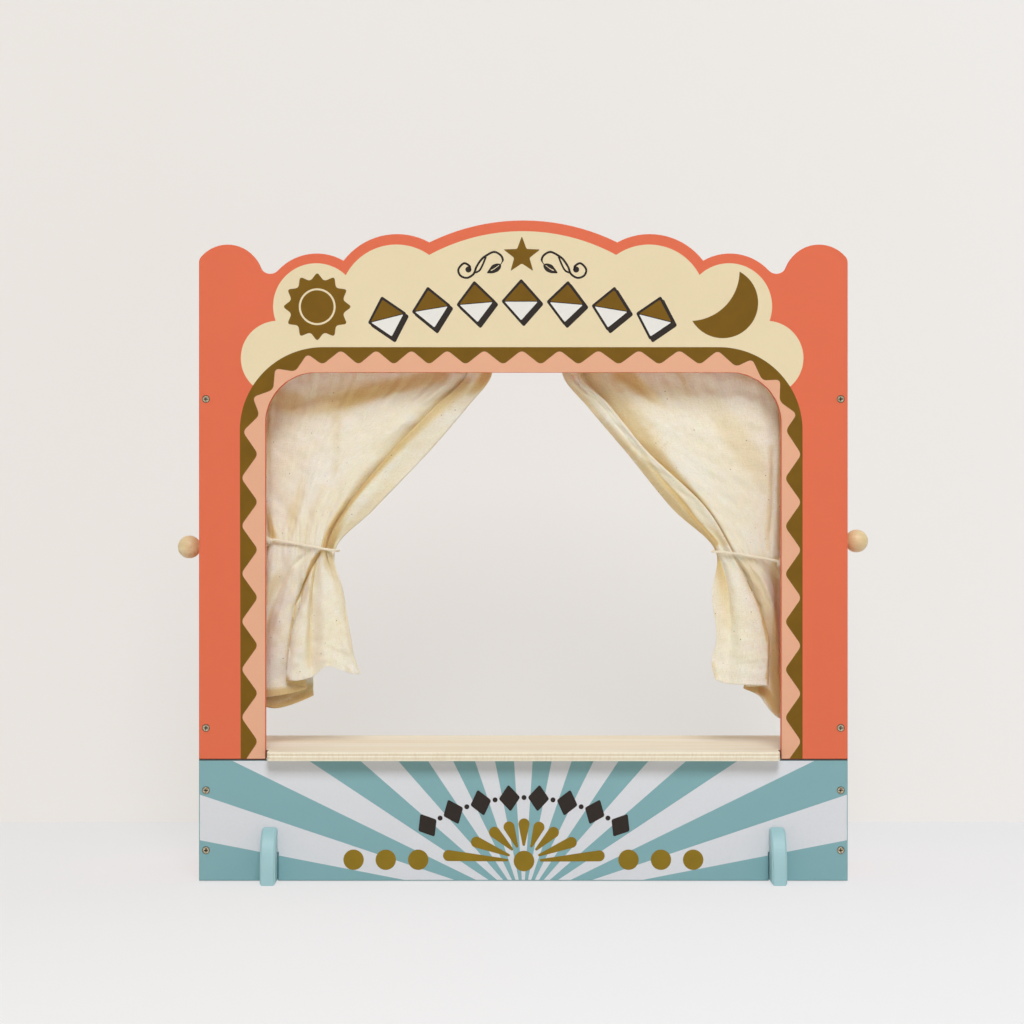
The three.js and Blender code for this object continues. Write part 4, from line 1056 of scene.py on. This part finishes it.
# Lines of painted shade on the cloth, in its creases and in the shadows of the boards and of its
# own folds. Each runs through points given as share across, share down, strength, and half width
# on its outer and on its leading side.
LEFT_SHADE_LINES = [
    [(0.832, 0.2, 0.2, 1.9, 5.6), (0.832, 0.291, 0.25, 1.9, 5.6), (0.832, 0.361, 0.32, 1.9, 5.6),
     (0.832, 0.426, 0.45, 1.9, 5.6), (0.832, 0.478, 0.6, 1.7, 5.6), (0.832, 0.548, 0.7, 1.4, 5.6),
     (0.832, 0.578, 0.7, 1.1, 5.6)],
    [(0.932, 0.2, 0.45, 5.6, 9.4), (0.932, 0.291, 0.45, 5.6, 8), (0.932, 0.361, 0.5, 5.6, 6.1),
     (0.932, 0.426, 0.6, 5.6, 3.8), (0.932, 0.478, 0.7, 5.6, 2.4), (0.932, 0.548, 0.75, 5.6, 1.6),
     (0.932, 0.578, 0.75, 5.6, 1.1)],
    [(0.99, 0.165, 0.6, 7.5, 4.7), (0.985, 0.2, 0.55, 6.6, 4.7), (0.98, 0.226, 0.35, 4.7, 3.8),
     (0.98, 0.243, 0, 3.8, 2.8)],
    [(0.143, 0.239, 0.3, 11.3, 11.3), (0.25, 0.257, 0.38, 12.2, 11.3),
     (0.311, 0.274, 0.2, 8.5, 8.5), (0.378, 0.265, 0.3, 9.4, 9.4), (0.444, 0.257, 0.45, 10.3, 9.4),
     (0.51, 0.239, 0.5, 9.4, 8.5), (0.587, 0.217, 0.48, 8.5, 7.5), (0.653, 0.196, 0.45, 7.5, 7.5),
     (0.745, 0.174, 0.4, 7.5, 7.5)],
    [(0.454, 0.296, 0.13, 5.6, 5.6), (0.515, 0.357, 0.11, 4.7, 4.7),
     (0.587, 0.413, 0.07, 3.8, 3.8)],
    [(0.398, 0.43, 0.06, 3.8, 3.8), (0.388, 0.465, 0.18, 4.7, 4.7), (0.362, 0.5, 0.25, 5.6, 4.7),
     (0.347, 0.539, 0.18, 4.7, 3.8), (0.321, 0.574, 0.06, 2.8, 2.8)],
    [(0.546, 0.439, 0.03, 3.8, 3.8), (0.561, 0.478, 0.1, 3.8, 2.8), (0.526, 0.526, 0.1, 3.8, 2.8),
     (0.5, 0.57, 0.05, 2.8, 1.9)],
    [(0.173, 0.3, 0.2, 2.8, 3.8), (0.189, 0.378, 0.2, 2.8, 3.3), (0.194, 0.422, 0.08, 1.9, 2.8)],
    [(0.189, 0.483, 0.2, 2.8, 1.9), (0.189, 0.526, 0.5, 2.8, 2.8), (0.204, 0.57, 0.6, 2.8, 3.8),
     (0.214, 0.583, 0.4, 2.8, 2.8)],
    [(0.735, 0.596, 0.6, 1.9, 2.3), (0.643, 0.617, 0.62, 1.9, 3.8), (0.577, 0.639, 0.62, 1.4, 4.2),
     (0.531, 0.665, 0.58, 1.2, 3.8), (0.459, 0.696, 0.48, 1.2, 3.3),
     (0.444, 0.739, 0.38, 1.2, 2.3), (0.439, 0.804, 0.28, 1.2, 1.9),
     (0.429, 0.896, 0.22, 1.2, 1.9)],
    [(0.689, 0.613, 0.35, 2.8, 1.9), (0.684, 0.652, 0.3, 2.8, 1.9), (0.694, 0.704, 0.26, 3.8, 1.9),
     (0.704, 0.774, 0.22, 4.7, 1.9), (0.709, 0.93, 0.2, 4.7, 1.9)],
    [(0.801, 0.596, 0.4, 4.7, 4.7), (0.939, 0.626, 0.34, 5.6, 5.6), (0.944, 0.661, 0.22, 4.7, 4.7),
     (0.949, 0.709, 0.14, 4.7, 4.7), (0.99, 0.761, 0.12, 4.7, 4.7), (0.99, 0.861, 0.12, 4.7, 4.7),
     (0.995, 0.952, 0.1, 3.8, 3.8)],
    [(0.276, 0.643, 0.06, 3.8, 2.8), (0.26, 0.665, 0.2, 5.6, 3.8), (0.23, 0.687, 0.22, 5.6, 4.7),
     (0.23, 0.709, 0.15, 3.8, 2.8)],
    [(0.321, 0.652, 0.03, 1.9, 1.9), (0.296, 0.687, 0.12, 1.9, 1.9),
     (0.286, 0.717, 0.15, 2.3, 1.9), (0.296, 0.752, 0.2, 2.8, 1.9), (0.321, 0.783, 0.12, 1.9, 1.9)],
    [(0.23, 0.996, 0.55, 5.6, 4.7), (0.092, 1, 0.6, 5.6, 4.7), (0.179, 0.987, 0.6, 5.6, 4.7),
     (0.163, 0.983, 0.55, 5.6, 4.7)],
    [(0.444, 0.961, 0.45, 3.8, 3.8), (0.526, 1, 0.5, 4.7, 4.7), (0.158, 0.961, 0.45, 4.7, 4.7)],
    [(0.964, 0.317, 0, 5.6, 5.6), (0.98, 0.417, 0.08, 6.6, 6.6), (0.985, 0.465, 0.16, 5.6, 5.6),
     (0.985, 0.522, 0.2, 4.7, 4.7), (0.98, 0.552, 0.12, 3.8, 3.8)],
]

RIGHT_SHADE_LINES = [
    [(0.7, 0.183, 0.32, 24.4, 2.8), (0.7, 0.213, 0.32, 22.6, 2.8), (0.7, 0.248, 0.32, 22.6, 2.8),
     (0.7, 0.287, 0.32, 22.6, 2.8), (0.7, 0.335, 0.34, 22.6, 2.8), (0.7, 0.37, 0.38, 18.8, 2.8),
     (0.7, 0.396, 0.42, 15, 2.8), (0.7, 0.413, 0.48, 11.3, 2.8), (0.7, 0.439, 0.52, 8, 2.8),
     (0.7, 0.461, 0.6, 6.1, 2.8), (0.7, 0.487, 0.62, 5.2, 2.3), (0.7, 0.526, 0.65, 4.7, 2.3),
     (0.7, 0.561, 0.65, 4.7, 2.3), (0.7, 0.574, 0.6, 4.2, 2.3)],
    [(0.964, 0.174, 0.3, 4.7, 4.7), (0.974, 0.243, 0.3, 5.6, 4.7), (0.99, 0.33, 0.3, 7.5, 4.7),
     (0.974, 0.378, 0.32, 7.5, 4.7), (0.964, 0.413, 0.35, 9.4, 4.7),
     (0.98, 0.457, 0.38, 11.3, 5.6), (0.98, 0.487, 0.4, 11.3, 5.6),
     (0.995, 0.526, 0.45, 10.3, 5.6), (0.99, 0.557, 0.5, 7.5, 4.7), (0.99, 0.583, 0.5, 4.7, 3.8)],
    [(0.612, 0.165, 0.5, 8.5, 11.3), (0.592, 0.183, 0.52, 7.5, 9.4),
     (0.577, 0.213, 0.48, 6.6, 7.5), (0.561, 0.239, 0.32, 5.6, 5.6), (0.546, 0.265, 0.1, 4.7, 4.7)],
    [(0.811, 0.165, 0.35, 2.8, 2.8), (0.796, 0.196, 0.3, 2.8, 2.8), (0.791, 0.222, 0.15, 2.3, 2.3)],
    [(0.449, 0.161, 0.25, 2.8, 2.8), (0.439, 0.2, 0.25, 2.3, 2.3), (0.444, 0.239, 0.1, 2.3, 2.3)],
    [(0.378, 0.248, 0.06, 7.5, 7.5), (0.367, 0.309, 0.14, 11.3, 9.4),
     (0.337, 0.365, 0.18, 13.2, 11.3), (0.291, 0.404, 0.16, 11.3, 11.3),
     (0.265, 0.448, 0.1, 7.5, 7.5)],
    [(0.214, 0.374, 0.15, 3.3, 2.8), (0.23, 0.43, 0.2, 3.3, 2.8), (0.26, 0.496, 0.2, 3.3, 2.8),
     (0.265, 0.561, 0.18, 2.8, 2.8)],
    [(0.158, 0.252, 0.3, 2.3, 1.9), (0.173, 0.378, 0.35, 2.3, 1.7), (0.194, 0.465, 0.35, 2.3, 1.7),
     (0.168, 0.561, 0.3, 2.3, 1.9)],
    [(0.791, 0.596, 0.5, 2.3, 1.1), (0.791, 0.626, 0.55, 2.8, 1.1), (0.786, 0.67, 0.6, 3.3, 1.1),
     (0.791, 0.722, 0.6, 3.3, 1.2), (0.801, 0.765, 0.6, 3.8, 1.2), (0.796, 0.822, 0.55, 4.7, 1.2),
     (0.791, 0.883, 0.5, 5.6, 1.2), (0.801, 0.965, 0.5, 7.5, 1.2)],
    [(0.974, 0.609, 0.5, 1.9, 8.5), (0.939, 0.635, 0.45, 1.9, 8.5), (0.908, 0.674, 0.35, 1.9, 9.4),
     (0.903, 0.713, 0.22, 2.8, 9.4), (0.908, 0.757, 0.1, 3.8, 9.4)],
    [(0.194, 0.583, 0.3, 3.8, 3.8), (0.429, 0.709, 0.38, 4.7, 3.8), (0.526, 0.8, 0.45, 5.6, 4.7),
     (0.52, 0.896, 0.5, 7.5, 6.6), (0.515, 0.978, 0.45, 5.6, 5.6)],
    [(0.719, 0.996, 0.55, 2.8, 2.8), (0.658, 0.983, 0.6, 3.8, 3.8), (0.582, 0.961, 0.6, 5.6, 4.7),
     (0.531, 0.974, 0.5, 4.7, 4.7)],
    [(0.995, 0.913, 0.2, 2.8, 2.8), (1, 0.97, 0.2, 3.8, 3.8)],
    [(0.27, 0.165, 0.1, 5.6, 5.6), (0.214, 0.2, 0.1, 3.8, 4.7), (0.179, 0.248, 0.1, 2.8, 3.8)],
    [(0.872, 0.474, 0, 4.7, 4.7), (0.862, 0.509, 0.12, 4.7, 4.7), (0.837, 0.535, 0.25, 4.7, 4.7),
     (0.827, 0.561, 0.32, 4.7, 4.7)],
    [(0.852, 0.387, 0.2, 2.8, 2.8), (0.893, 0.417, 0.35, 2.8, 3.8), (0.908, 0.443, 0.5, 2.3, 3.8),
     (0.908, 0.474, 0.6, 2.3, 3.8), (0.923, 0.513, 0.6, 2.3, 3.8), (0.918, 0.543, 0.6, 2.3, 3.8),
     (0.903, 0.565, 0.6, 2.3, 3.8)],
    [(0.587, 0.613, 0.15, 7.5, 9.4), (0.628, 0.678, 0.22, 8.5, 9.4),
     (0.607, 0.765, 0.25, 8.5, 9.4), (0.566, 0.852, 0.25, 8.5, 8.5)],
]


def on_cloth(middle, across, down):
    """Places on the cloth at shares of its width and length, straight between its grid's points."""
    rows, columns = middle.shape[:2]
    r, c = np.clip(down, 0, 1) * (rows - 1), np.clip(across, 0, 1) * (columns - 1)
    i, j = np.minimum(r.astype(int), rows - 2), np.minimum(c.astype(int), columns - 2)
    s, t = (r - i)[:, None], (c - j)[:, None]
    upper = middle[i, j] * (1 - t) + middle[i, j + 1] * t
    return upper * (1 - s) + (middle[i + 1, j] * (1 - t) + middle[i + 1, j + 1] * t) * s


def drawn_line(middle, points, count):
    """A smooth line through points on the cloth: its numbers at each step, and its places."""
    line = curve_rows(np.array(points)[:, None], count)[:, 0]
    return line, on_cloth(middle, line[:, 0], line[:, 1])


def nearest(part, line, spine):
    """For each place, its distance from a drawn line and the line's numbers where it is nearest."""
    gap = np.linalg.norm(part.reshape(-1, 1, 3) - spine[None], axis=-1)
    close = gap.argmin(1)
    return gap[np.arange(len(gap)), close], line[close].T


def within(share, line, reach):
    """Which shares lie along a line or at most a reach before or past it."""
    return (share > line.min() - reach) & (share < line.max() + reach)


# Steps of a drawn crease, how far past its ends it acts, and how far across its own fold reaches,
# as shares of the cloth's width
CREASE_STEPS = 240
CREASE_MARGIN = 0.14
FOLD_REACH = 0.09


def creased(middle, creases):
    """Cloth moved back along each crease by the crease's depth at its nearest place, divided by one
    plus the squared distance in half widths to the power of one and a half. Cloth on another fold,
    more than one and a half reaches across from that place, stays."""
    rows, columns = middle.shape[:2]
    share = np.arange(columns) / (columns - 1)
    result = middle.copy()
    for crease in creases:
        line, spine = drawn_line(middle, crease, CREASE_STEPS)
        near = within(share, line[:, 0], CREASE_MARGIN)
        gap, (across, _, depth, half) = nearest(middle[:, near], line, spine)
        own = np.clip(1.5 - np.abs(np.tile(share[near], rows) - across) / FOLD_REACH, 0, 1)
        push = own * depth / (1 + (gap / half) ** 2) ** 1.5
        result[:, near, 1] += push.reshape(rows, -1)
    return result


# Steps of a drawn line of painted shade, how far past its ends it is looked for across and down,
# its least half width, and the half widths past which nothing of it is left
SHADE_STEPS = 110
SHADE_MARGINS = (0.2, 0.12)
SHADE_LEAST = 0.4
SHADE_END = 3


def painted_shade(middle, lines):
    """How much painted shade each point of the cloth has, from 0 to 1: on a line the line's
    strength, falling as e to the minus fourth power of the distance in half widths; where lines
    meet, the stronger counts."""
    rows, columns = middle.shape[:2]
    share = np.arange(columns) / (columns - 1)
    drop = np.arange(rows) / (rows - 1)
    fold_shade = np.zeros((rows, columns))
    for points in lines:
        line, spine = drawn_line(middle, points, SHADE_STEPS)
        wide, high = (within(shares, line[:, axis], SHADE_MARGINS[axis])
                      for axis, shares in enumerate((share, drop)))
        area = np.ix_(high, wide)
        gap, (across, _, strength, outer, leading) = nearest(middle[area], line, spine)
        outside = np.tile(share[wide], high.sum()) < across
        half = np.maximum(np.where(outside, outer, leading), SHADE_LEAST)
        level = np.clip(strength, 0, 1) * np.exp(-np.minimum(gap / half, SHADE_END) ** 4)
        fold_shade[area] = np.maximum(fold_shade[area], level.reshape(fold_shade[area].shape))
    return fold_shade


def measured(middle, axis):
    """Distances along the cloth from its first row (axis 0) or its first column (axis 1)."""
    first = middle[:1] if axis == 0 else middle[:, :1]
    return np.linalg.norm(np.diff(middle, axis=axis, prepend=first), axis=-1).cumsum(axis)


# Lengths and sizes of the slow waves, lengths of the puckers at the cord and of the gathers
WAVES = ((34, 0.34), (21, 0.2), (13, 0.1), (8.5, 0.06))
PUCKERS = (17, 11, 7.3)
GATHERS = (14.5, 9.7, 7.3)
GATHER_SIZE = 0.55
# Where under the rod the waves and the gathers start, and over which length they rise to full size
WAVE_RISE = (6, 25)
GATHER_RISE = (8, 10)
# Distance from the cord over which the waves rise, and the lengths over which the puckers fade from
# the cord and the gathers from the rod
CORD_CALM = 22
PUCKER_FADE = 17
GATHER_FADE = 45


def risen(distance, start, length):
    """A share that rises from 0 at a start to 1 over a length."""
    return np.clip((distance - start) / length, 0, 1)


def rumpled(middle, folds, seed):
    """Small unevenness of hand-gathered cloth: puckers that radiate from under the cord and fade
    away from it, gathers under the rod, and slow waves all over, each a sum of a few sines of cloth
    width and length."""
    random = np.random.default_rng(seed)
    across = measured(middle, 1).mean(0)[None, :]
    down = measured(middle, 0).mean(1)[:, None]
    from_cord = np.abs(middle[..., 2] - tie_height(folds, np.abs(middle[..., 0])))
    under_rod = ROD_Z - middle[..., 2]
    waves = np.zeros(middle.shape[:2])
    for length, size in WAVES:
        for turn in random.uniform(0, math.pi, 3):
            phase = random.uniform(0, 2 * math.pi)
            way = across * math.cos(turn) + down * math.sin(turn)
            waves += size * np.sin(way * 2 * math.pi / length + phase)
    puckers, gathers = (sum(np.sin(across * 2 * math.pi / length + random.uniform(0, 6))
                            for length in lengths) for lengths in (PUCKERS, GATHERS))
    free = risen(under_rod, *WAVE_RISE) * risen(from_cord, 0, CORD_CALM)
    by_cord = folds["pucker"] * np.exp(-(from_cord / PUCKER_FADE) ** 2)
    by_rod = GATHER_SIZE * risen(under_rod, *GATHER_RISE)
    by_rod *= np.exp(-np.clip(under_rod, 0, None) / GATHER_FADE)
    result = middle.copy()
    result[..., 1] += waves * free + puckers * by_cord + gathers * by_rod
    return result


CLOTH_THICKNESS = 0.6
# Share of the painted shade on the cloth's rear face, and where it rises to the full painted
# shade: from which share of the drop and over which further share
SHADE_BEHIND = 0.12
SHADE_THROUGH = (0.9, 0.06)


def cloth_piece(name, middle, fold_shade, side):
    """Closed sheet: the middle surface moved half the thickness each way along its normal, with a
    rim. The face towards the audience has the painted shade in full, the face behind it only at the
    hem."""
    down, across = np.gradient(middle, axis=0), np.gradient(middle, axis=1)
    normal = np.cross(across, down)
    normal *= side / np.maximum(np.linalg.norm(normal, axis=-1, keepdims=True), 1e-9)
    rows, columns = middle.shape[:2]
    drop = np.arange(rows)[:, None] / (rows - 1)
    behind = np.maximum(risen(drop, *SHADE_THROUGH), SHADE_BEHIND) * fold_shade
    half = normal * CLOTH_THICKNESS / 2
    points = np.concatenate([layer.reshape(-1, 3) for layer in (middle + half, middle - half)])
    quads = grid_quads(rows, columns)
    number = np.arange(rows * columns).reshape(rows, columns)
    rim = np.concatenate([number[0, :-1], number[:-1, -1], number[-1, :0:-1], number[:0:-1, 0]])
    rim_next = np.roll(rim, -1)
    edge = np.stack([rim, rim_next, rim_next + rows * columns, rim + rows * columns], 1)
    wide = np.broadcast_to(measured(middle, 1).mean(0), (rows, columns))
    uv = np.stack([wide, measured(middle, 0)], -1).reshape(-1, 2)
    faces = [quads, quads[:, ::-1] + rows * columns, edge]
    return outward(piece(name, points, faces, cloth, uv=np.concatenate([uv, uv]),
                         fold_shade=np.concatenate([fold_shade.ravel(), behind.ravel()])))


def hang_curtain(label, folds, creases, shade_lines, side, seed):
    """One curtain: its shape and its painted shade, with the imported curtain hidden."""
    smooth = cloth_surface(folds, side)
    middle = rumpled(creased(smooth, creases), folds, seed)
    curtain = cloth_piece(label + "_calico_curtain", middle, painted_shade(smooth, shade_lines), side)
    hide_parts(label + "_curtain")
    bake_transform(curtain)


hang_curtain("left", LEFT_FOLDS, LEFT_CREASES, LEFT_SHADE_LINES, -1, 3)
hang_curtain("right", RIGHT_FOLDS, RIGHT_CREASES, RIGHT_SHADE_LINES, 1, 8)


# Tie-back cords

# Each cord's way, from the audience's side of its peg round the cloth and back: distance from the
# middle of the stage, depth from the rod and height from the tie
LEFT_CORD = [
    (252.7, -11.5, -2), (251.9, -11.5, 3.5), (247, -11.6, 6.1), (242.7, -11.8, 4.4),
    (238.6, -12.1, -0.3), (232, -10.9, -1.2), (220, -9.8, -3.2), (208, -9.6, -5.4),
    (195, -9.8, -7.8), (185.5, -9.6, -9.8), (178.8, -8, -10.8), (173.9, -1.8, -11.2),
    (176.4, 5, -11.4), (190, 7.8, -11), (215, 9.8, -9.8), (232, 13, -9), (250, 14.5, -8.5),
    (261, 14.6, -8.2), (267.5, 9.5, -8), (266, 3, -7.9), (260, -1.6, -7.8), (252, -3.2, -8.4),
    (245.4, -6, -8.2), (241.2, -9, -6.4), (239.2, -10.8, -3.9)]
RIGHT_CORD = [
    (252.7, -11.5, -2), (251.9, -11.5, 3.5), (247, -11.6, 6.1), (242.7, -11.8, 4.6),
    (239.8, -12, 1.2), (234, -10.2, 1.9), (223, -9.4, 4), (213, -9.2, 5.6), (204, -9.6, 7.1),
    (196, -10.8, 8.3), (188, -8.8, 9.3), (183, -7.2, 9.7), (178.2, -2.2, 10), (180.2, 3.8, 10),
    (192, 6.6, 9.4), (205, 7.4, 8), (225, 9, 5), (240, 11.6, 1.5), (252, 14.4, -3.5),
    (261, 14.6, -6.8), (268, 9.5, -8), (266, 3, -8), (260, -1.6, -8), (252, -3.2, -8.4),
    (246, -6, -8.3), (242.6, -9, -6.8), (241, -10.9, -3.8)]


def carried_frames(path):
    """Two directions square to a path at each of its points, turned as little as it allows."""
    along = np.gradient(path, axis=0)
    along /= np.linalg.norm(along, axis=1)[:, None]
    first = np.cross(along[0], [0.0, 0.0, 1.0])
    aside = [first / np.linalg.norm(first)]
    for direction in along[1:]:
        turned = aside[-1] - direction * (aside[-1] @ direction)
        aside.append(turned / np.linalg.norm(turned))
    aside = np.array(aside)
    return aside, np.cross(along, aside)


def twisted_cord(path, radius, twist, around=30):
    """Three strands laid together: the section is the outline of three touching circles, turned
    along the path by a full turn in each length of twist, and drawn in to a point past each end.
    The circles' centres stand 2 / sqrt(3) of a strand's radius from the middle."""
    strand = radius / 2.1547
    out = 1.1547 * strand
    angle = 2 * math.pi * np.arange(around) / around
    lean = (angle + math.pi / 3) % (2 * math.pi / 3) - math.pi / 3
    reach = out * np.cos(lean) + np.sqrt(np.maximum(strand ** 2 - (out * np.sin(lean)) ** 2, 0))
    length = np.linalg.norm(np.diff(path, axis=0, prepend=path[:1]), axis=1).cumsum()
    a, b = carried_frames(path)
    turn = angle[None] + (2 * math.pi * length / twist)[:, None]
    out_way = a[:, None] * np.cos(turn)[..., None] + b[:, None] * np.sin(turn)[..., None]
    rings = path[:, None] + reach[None, :, None] * out_way
    count = len(path)
    tips = [path[:1] * 2 - path[1:2], path[-1:] * 2 - path[-2:-1]]
    points = np.concatenate([rings.reshape(-1, 3), *tips])
    uv = np.stack(np.broadcast_arrays(angle * radius, length[:, None]), -1)
    uv = np.concatenate([uv.reshape(-1, 2), [[0, 0], [0, length[-1]]]])
    i = np.arange(around)
    j = (i + 1) % around
    first = np.stack([j, i, np.full(around, count * around)], 1)
    last = (count - 1) * around
    end = np.stack([last + i, last + j, np.full(around, count * around + 1)], 1)
    return points, [grid_quads(count, around, False, True), first, end], uv


# Radius over all three strands and length of one full twist, of the loop and of its knot
LOOP_TWIST = (1.3, 7.5)
KNOT_TWIST = (0.95, 6)
LOOP_STEPS = 900
KNOT_STEPS = 160
# The place on a cord's way that its end comes back to, where the knot is tied
KNOT_PLACE = 4
KNOT_TURNS = 3.2
KNOT_LENGTH = 5.2
KNOT_HALF_WIDTH = 2.5
KNOT_HALF_HEIGHT = 2.1


def tie_cord(label, route, side, tie):
    """The cord on its peg and round the cloth, and its knot's turns where the two ends meet."""
    path = np.array([(side * out, ROD_Y + back, tie + up) for out, back, up in route], float)
    fine = curve_rows(path[:, None], LOOP_STEPS)[:, 0]
    heart = (path[KNOT_PLACE] + path[-1]) / 2
    way = path[KNOT_PLACE + 1] - path[KNOT_PLACE - 1]
    way /= np.linalg.norm(way)
    across = np.cross(way, [0, 1, 0])
    across /= np.linalg.norm(across)
    t = np.linspace(0, 1, KNOT_STEPS)[:, None]
    turn = 2 * math.pi * KNOT_TURNS * t
    knot = heart + way * (t - 0.5) * KNOT_LENGTH + across * np.cos(turn) * KNOT_HALF_WIDTH
    knot += np.cross(way, across) * np.sin(turn) * KNOT_HALF_HEIGHT
    cords = [twisted_cord(fine, *LOOP_TWIST), twisted_cord(knot, *KNOT_TWIST)]
    points, faces = joined([cord[:2] for cord in cords])
    uv = np.concatenate([cord[2] for cord in cords])
    cord = outward(piece(label + "_twisted_cord", points, faces, cord_cotton, uv=uv))
    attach(cord, "stand")
    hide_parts(label + "_tieback")


tie_cord("left", LEFT_CORD, -1, LEFT_FOLDS["tie"])
tie_cord("right", RIGHT_CORD, 1, RIGHT_FOLDS["tie"])


# Room: pale floor, plain wall that only shows from its front, one soft lamp and an even sky

# In metres: how far left and right the tone drifts, and from which depth to the wall it darkens;
# both are painted shade
DRIFT_HALF = 0.55
DARKER_FROM = -0.75


def plaster(name, left, right, shown_level, far=0.0, one_sided=False):
    """Matt off-white that drifts from its left tone to its lighter right one and darkens towards
    the wall by the share far, both painted shade; partly shown at its own level where it is seen
    directly or in a reflection. A one-sided wall lets rays through from behind."""
    finish = Finish(name, Roughness=0.9, Specular_IOR_Level=0.2)
    x, y, _ = finish.parts(finish.place())
    slow = finish.span(finish.cloud(finish.place(), 1.5, 2.0, 0.5), 0.3, 0.7, -0.15, 0.15)
    drift = finish.calc("ADD", finish.span(x, -DRIFT_HALF, DRIFT_HALF), slow, clamp=True)
    tone = finish.mixed(drift, left, right)
    far_tone = finish.mixed(1.0, tone, tinted((1, 1, 1), -far), "MULTIPLY")
    tone = finish.mixed(finish.span(y, DARKER_FROM, WALL_Y * MM), tone, far_tone)
    finish.colour(tone)
    path = finish.tree.nodes.new("ShaderNodeLightPath").outputs
    seen = path["Is Camera Ray"]
    for ray in ("Is Glossy Ray", "Is Transmission Ray"):
        seen = finish.calc("MAXIMUM", seen, path[ray])
    own_light = finish.add("ShaderNodeEmission", {"Color": tone, "Strength": 1.0})
    levels = {0: finish.times(seen, shown_level), 1: finish.shader.outputs[0], 2: own_light}
    shown = finish.add("ShaderNodeMixShader", levels)
    if one_sided:
        back = finish.add("ShaderNodeNewGeometry", out="Backfacing")
        clear = finish.add("ShaderNodeBsdfTransparent")
        shown = finish.add("ShaderNodeMixShader", {0: back, 1: shown, 2: clear})
    finish.surface(shown)
    return finish.material


def backdrop(name, corners, material):
    """A flat sheet of the room, which is no part of the object."""
    mesh = bpy.data.meshes.new(name)
    mesh.from_pydata([[c * MM for c in corner] for corner in corners], [], [[0, 1, 2, 3]])
    mesh.materials.append(material)
    obj = bpy.data.objects.new(name, mesh)
    bpy.context.scene.collection.objects.link(obj)


backdrop("floor", [(-ROOM_HALF, -ROOM_HALF, 0), (ROOM_HALF, -ROOM_HALF, 0),
                   (ROOM_HALF, ROOM_HALF, 0), (-ROOM_HALF, ROOM_HALF, 0)],
         plaster("floor_white", linear(242, 241, 240), linear(245, 245, 247), 0.74, far=0.09))
backdrop("wall", [(-ROOM_HALF, WALL_Y, 0), (ROOM_HALF, WALL_Y, 0),
                  (ROOM_HALF, WALL_Y, ROOM_TOP), (-ROOM_HALF, WALL_Y, ROOM_TOP)],
         plaster("wall_white", linear(236, 232, 227), linear(239, 237, 234), 0.72, one_sided=True))


def lamp(name, place, aim, size, power, colour):
    """A square soft lamp, turned to its aim."""
    data = bpy.data.lights.new(name, "AREA")
    data.energy = power
    data.size = size * MM
    data.color = colour
    light = bpy.data.objects.new(name, data)
    way = np.array(aim, float) - np.array(place, float)
    light.location = [c * MM for c in place]
    flat = math.hypot(way[0], way[1])
    light.rotation_euler = (math.pi / 2 - math.atan2(-way[2], flat), 0, math.atan2(-way[0], way[1]))
    bpy.context.scene.collection.objects.link(light)


lamp("key_lamp", (350, -4990, 5140), (0, 0, 300), size=2600, power=300, colour=(0.91, 0.94, 1))


def soft_sky(front, back):
    """Warm white sky whose level falls from the audience's side of the object to the side behind
    it, by the square of the share of the way round to the front. Seen directly it is a plain pale
    tone."""
    sky = bpy.data.worlds.new("soft_sky")
    sky.use_nodes = True
    nodes = Nodes(sky.node_tree)
    way = nodes.add("ShaderNodeTexCoord", out="Generated")
    forward = nodes.add("ShaderNodeSeparateXYZ", {0: way}, out=1)
    share = nodes.add("ShaderNodeMapRange", {0: forward, 1: 1.0, 2: -1.0})
    squared = nodes.add("ShaderNodeMath", {0: share, 1: 2.0}, operation="POWER")
    level = nodes.add("ShaderNodeMapRange", {0: squared, 1: 0.0, 2: 1.0, 3: back, 4: front})
    warm = {"Color": linear(255, 246, 228), "Strength": level}
    light = nodes.add("ShaderNodeBackground", warm)
    shown = nodes.add("ShaderNodeBackground", {"Color": linear(236, 233, 229)})
    seen = nodes.add("ShaderNodeLightPath", out="Is Camera Ray")
    nodes.surface(nodes.add("ShaderNodeMixShader", {0: seen, 1: light, 2: shown}), "World Output")
    bpy.context.scene.world = sky


soft_sky(front=0.42, back=0.3)
bpy.context.scene.view_settings.view_transform = "Standard"
